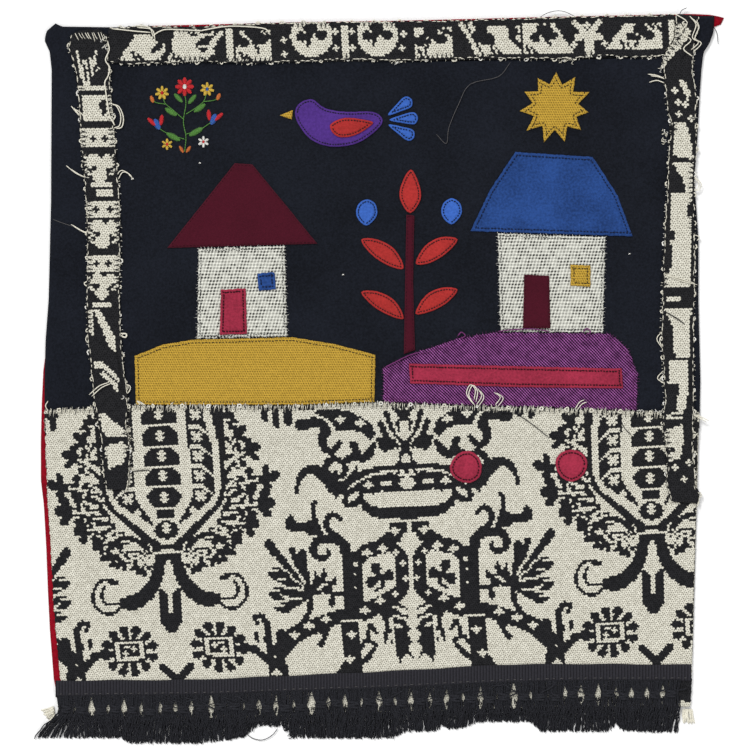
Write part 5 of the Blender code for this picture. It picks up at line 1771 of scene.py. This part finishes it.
# Round flowers about the centre: x, y, petals, reach, petal colour, eye colour.
SPRIG_FLOWERS = (
    (0, 22, 8, 7.0, "red", "white"), (-18, 17, 7, 5.2, "yellow", "red"), (18, 20, 7, 5.2, "yellow", "blue"),
    (-14, -24, 6, 4.2, "yellow", "red"), (15, -22, 6, 4.2, "white", "red"),
)


def make_sprig():
    """A small embroidered sprig with round flowers, buds and leaves."""
    threads = Threads()
    x, y = SPRIG_CENTRE
    for points in SPRIG_STEMS:
        stem_stitch(threads, [(x + a, y + b) for a, b in points], "green")
    for a, b, wide, high, lean, colour in SPRIG_SATIN:
        satin(threads, x + a, y + b, wide, high, lean, colour)
    for a, b, petals, reach, colour, eye in SPRIG_FLOWERS:
        for petal in range(petals):
            angle = 360 / petals * petal
            turn = math.radians(angle)
            satin(threads, x + a + 0.66 * reach * math.sin(turn), y + b + 0.66 * reach * math.cos(turn),
                  0.26 * reach, 0.4 * reach, -angle, colour)
        satin(threads, x + a, y + b, 0.26 * reach, 0.26 * reach, 0, eye)
    threads.make("sprig_stitches", "cloth_pink_red")


# Trim

# Where the seam runs, as a share of the way down the tape.
TAPE_SEAM = 0.8


def make_tape():
    """Ribs across the tape as ridges and grooves."""
    left, right = TAPE_TOP[0][0], TAPE_TOP[-1][0]
    columns = np.linspace(left, right, 8 * int((right - left) / RIB_PITCH) + 1)
    down = np.linspace(0, 1, 9)
    x = np.tile(columns, len(down))
    v = np.repeat(down, len(columns))
    y = mix(line_at(TAPE_TOP, x), line_at(TAPE_BOTTOM, x), v) + 0.3 * np.sin(x / 9.0)
    under = float(panel_top(0.0, TAPE_TOP[0][1])) + GAP
    ribs = 0.5 - 0.5 * np.cos(2 * np.pi * x / RIB_SPACING)
    rounding = 0.35 * ((v == 0) | (v == 1))
    groove = 0.25 * np.exp(-((v - TAPE_SEAM) / 0.1) ** 2)
    z = under + TAPE - RIB_DEPTH * (1 - ribs ** 0.7) - rounding - groove
    faces = grid_faces(len(columns), len(down))[:, ::-1]
    tape = cloth_piece("fringe_tape_cloth", np.stack([x, y, z], axis=1).tolist(), faces.tolist(),
                       [0] * len(faces), (CLOTHS["tape_black"],), lambda a, b: under, "tape_black",
                       ("fringe_tape",))
    stitches = Threads()
    x = left + 3.0
    while x < right - 4:
        y = float(mix(line_at(TAPE_TOP, x), line_at(TAPE_BOTTOM, x), TAPE_SEAM))
        reach = CHANCE.uniform(2.2, 3.4)
        stitches.add([(x, y, under + TAPE - 0.5), (x + 0.4 * reach, y + 0.1, under + TAPE - 0.05),
                      (x + reach, y + 0.2, under + TAPE - 0.5)], 0.3, "grey")
        x += CHANCE.uniform(5.2, 7.2)
    parts = [stitches.make("tape_stitches", "tape_black")]


def sway(x):
    flare = -13.5 * ease((-238.0 - x) / 22.0)
    lean = -3.0 * ease((x - 214.0) / 26.0)
    return SWAY * math.sin(x / SWAY_LENGTH * 2.0 * math.pi) + flare + lean


TUFT_YARNS = 15
YARNS_IN_KNOT = 26
UNDER_YARNS = 13
UNDER_YARN_DROP = 12.8


def make_fringe():
    """Crimped yarns that hang from the tape in knotted bunches and spread over the surface below."""
    yarns = Threads()
    on_panel = BACKING + GAP + FIGURED + GAP
    group_width = (FRINGE_RIGHT - FRINGE_LEFT) / KNOT_GROUPS
    for group in range(KNOT_GROUPS):
        centre = FRINGE_LEFT + (group + 0.5) * group_width + CHANCE.uniform(-2.0, 2.0)
        drop = KNOT_DROP + CHANCE.uniform(0.4, 3.6)
        waist = CHANCE.uniform(0.46, 0.74)
        for strand in range(YARNS_IN_KNOT):
            offset = ((strand + 0.5) / YARNS_IN_KNOT - 0.5) * group_width * 1.2
            offset += CHANCE.uniform(-0.5, 0.5)
            x = centre + offset
            root = float(line_at(TAPE_BOTTOM, x)) + 1.4
            knot_y = root - 3.4 - drop
            cloth_end = float(line_at(PANEL_EDGES["bottom"], x)) - 1.0
            tip = float(line_at(FRINGE_TIPS, x)) + CHANCE.uniform(-0.8, 1.6)
            spread = 1.05 + CHANCE.uniform(-0.15, 0.3)
            bend = CHANCE.uniform(-2.2, 2.2)
            phase = CHANCE.uniform(0, 6.28)
            layer = CHANCE.uniform(0.3, 1.7)
            guide = smooth_line([
                (centre + offset * 0.94, root, on_panel + 0.7 + 0.2 * layer),
                (centre + offset * mix(0.94, waist, 0.6), mix(root, knot_y, 0.6),
                 on_panel + 0.8 + 0.4 * layer),
                (centre + offset * waist, knot_y, on_panel + 0.9 + 0.5 * layer),
                (centre + offset * 0.95 + sway(x) * 0.15, min(cloth_end, knot_y - 3) - 1,
                 on_panel + 0.4 * layer),
                (centre + offset * spread + sway(x) * 0.6 + 0.5 * bend, mix(cloth_end, tip, 0.5),
                 layer + 0.3),
                (centre + offset * spread + sway(x) + bend, tip, layer),
            ], 4)
            share = np.linspace(0, 1, len(guide))
            crimp = 0.55 * np.clip((share - 0.35) * 4, 0, 1)
            guide[:, 0] += crimp * np.sin(share * 34 + phase)
            guide[:, 2] += 0.3 * crimp * np.cos(share * 29 + phase)
            guide[:, 2] = np.maximum(guide[:, 2], 0.5)
            yarns.add(guide, CHANCE.uniform(0.5, 0.72), "fringe", 3, 0.8)
        for strand in range(UNDER_YARNS):
            offset = ((strand + 0.5) / UNDER_YARNS - 0.5) * group_width * 1.1
            x = centre + offset + CHANCE.uniform(-0.4, 0.4)
            start = float(line_at(TAPE_BOTTOM, x)) - UNDER_YARN_DROP + CHANCE.uniform(-1.8, 1.8)
            cloth_end = float(line_at(PANEL_EDGES["bottom"], x)) - 1.5
            tip = float(line_at(FRINGE_TIPS, x)) + CHANCE.uniform(-0.4, 1.2)
            bend = CHANCE.uniform(-1.6, 1.6)
            yarns.add(smooth_line([(x, start, on_panel + 0.4), (x + 0.2 * bend, cloth_end, 1.6),
                                   (x + 0.6 * sway(x) + 0.5 * bend, mix(cloth_end, tip, 0.5), 0.7),
                                   (x + sway(x) + bend, tip, 0.6)], 3), 0.62, "fringe", 3, 0.8)
        for _ in range(CHANCE.choice((0, 1, 1, 2, 2, 3))):
            cross_over(yarns, centre + 0.5 * group_width, group_width, on_panel)
        wind_knot(yarns, centre, float(line_at(TAPE_BOTTOM, centre)) - 2.0 - drop, on_panel)
    yarns.curve([(-112, -280, 1.2), (-105, -287, 1.2), (-96, -289, 1.2), (-88, -285, 1.2),
                 (-84, -280, 1.2)], 0.35, "fringe", 6)
    for x, y in ((-79, -280), (-74, -283), (-76, -286)):
        yarns.curve([(x, y, 1.2), (x + 2.5, y + 2.4, 1.6), (x + 3.4, y - 1.0, 1.2),
                     (x + 0.8, y - 2.0, 1.0)], 0.35, "fringe", 5)
    yarns.make("fringe_yarns", "fringe_black", ("fringe",))


def cross_over(yarns, x, group_width, floor):
    """A yarn that strays from one bunch to the next across the gap."""
    side = CHANCE.choice((-1, 1))
    start = x - 0.45 * side * group_width
    end = x + 0.45 * side * group_width
    top = float(line_at(TAPE_BOTTOM, x)) - CHANCE.uniform(0.0, 7.0)
    fall = CHANCE.uniform(1.0, 8.0)
    yarns.curve([(start, top, floor + 1.2), (x, top - 0.5 * fall, floor + 1.9),
                 (end, top - fall, floor + 1.4), (end + side, top - fall - 9, 2.2)],
                CHANCE.uniform(0.4, 0.75), "fringe", 3, 4)


def wind_knot(yarns, x, y, floor):
    """Three turns of yarn round a bunch."""
    size = CHANCE.uniform(0.85, 1.15)
    for turn, (dy, wide) in enumerate(((1.8, 3.4), (0.0, 4.2), (-1.9, 3.5))):
        lean = (0.9 if turn % 2 else -0.7) + CHANCE.uniform(-0.6, 0.6)
        wide *= size
        line = [(x - wide, y + dy - lean * 0.5, floor + 0.5),
                (x - 0.6 * wide, y + dy - lean * 0.3, floor + 2.0),
                (x, y + dy, floor + 2.5),
                (x + 0.6 * wide, y + dy + lean * 0.3, floor + 2.0),
                (x + wide, y + dy + lean * 0.5, floor + 0.5)]
        yarns.add(smooth_line(line, 3), 1.05, "fringe", 6, 0.5)


def make_tufts():
    for name, (root_a, root_b, tip_a, tip_b) in TUFTS.items():
        yarns = Threads()
        for strand in range(TUFT_YARNS):
            share = strand / (TUFT_YARNS - 1)
            start = (mix(root_a[0], root_b[0], share), mix(root_a[1], root_b[1], share))
            end = (mix(tip_a[0], tip_b[0], share) + CHANCE.uniform(-0.8, 0.8),
                   mix(tip_a[1], tip_b[1], share) + CHANCE.uniform(-0.6, 1.6))
            bend = CHANCE.uniform(-1.2, 1.2)
            height = CHANCE.uniform(0.5, 1.2)
            halfway = (mix(start[0], end[0], 0.5) + bend, mix(start[1], end[1], 0.5) - bend, height + 0.2)
            yarns.curve([(*start, height), halfway, (*end, height)], CHANCE.uniform(0.45, 0.75), "cream", 4)
        yarns.make(name + "_yarns", "cream_yarn", (name,))


# Stage

# The floor and the camera's view, in metres.
FLOOR_REACH = 3
FLOOR_LEVEL = -0.0003
VIEW_CENTRE = (-0.006, 0.0028)
VIEW_WIDTH = 0.6


def make_stage():
    """A plain pale floor, soft light and a camera straight above."""
    mesh = bpy.data.meshes.new("floor")
    sides = ((-1, -1), (1, -1), (1, 1), (-1, 1))
    corners = [(x * FLOOR_REACH, y * FLOOR_REACH, FLOOR_LEVEL) for x, y in sides]
    mesh.from_pydata(corners, [], [(0, 1, 2, 3)])
    floor = bpy.data.objects.new("floor", mesh)
    bpy.context.collection.objects.link(floor)
    pale = Shader("pale_floor", (0.92, 0.92, 0.92), 0.95, 0.0)
    mesh.materials.append(pale.material)

    world = bpy.data.worlds.new("soft_light")
    bpy.context.scene.world = world
    world.use_nodes = True
    world.node_tree.nodes["Background"].inputs["Color"].default_value = (1.0, 1.0, 1.0, 1.0)
    world.node_tree.nodes["Background"].inputs["Strength"].default_value = 0.72
    for name, angle, tilt, strength in (("key", 35, 42, 1.9), ("fill", 215, 50, 0.5)):
        light = bpy.data.lights.new(name, "SUN")
        light.energy = strength
        light.angle = math.radians(20)
        lamp = bpy.data.objects.new(name, light)
        lamp.rotation_euler = (math.radians(tilt), 0.0, math.radians(angle + 180))
        bpy.context.collection.objects.link(lamp)

    camera = bpy.data.cameras.new("camera")
    camera.lens = 100.0
    camera.sensor_width = 36.0
    camera.clip_end = 20.0
    holder = bpy.data.objects.new("camera", camera)
    holder.location = (*VIEW_CENTRE, VIEW_WIDTH * camera.lens / camera.sensor_width)
    bpy.context.collection.objects.link(holder)
    bpy.context.scene.camera = holder
    bpy.context.scene.view_settings.view_transform = "Standard"


# Where the first row or column of each strip lies.
STRIP_TOP_LEFT = -218.8
STRIP_LEFT_TOP = 278.8
STRIP_RIGHT_TOP = 291.0


def main():
    make_stage()
    make_backing()
    make_ground()
    cloths = {
        "woven_panel": (make_panel_cloth(), (0.523, 0.252)),
        "strip_top": (level_strip(STRIP_TOP_EDGES, top_strip_chart(), STRIP_TOP_LEFT), (0.452, 0.034)),
        "strip_left": (upright_strip(STRIP_LEFT_EDGES, left_strip_chart(), STRIP_LEFT_TOP), (0.034, 0.367)),
        "strip_right": (upright_strip(STRIP_RIGHT_EDGES, right_strip_chart(), STRIP_RIGHT_TOP),
                        (0.028, 0.390)),
    }
    for name, (cloth, flat) in cloths.items():
        piece = cloth.make(name + "_cloth")
    make_picture()
    make_threads({name: cloth for name, (cloth, _) in cloths.items()})
    make_sprig()
    make_tape()
    make_fringe()
    make_tufts()


main()
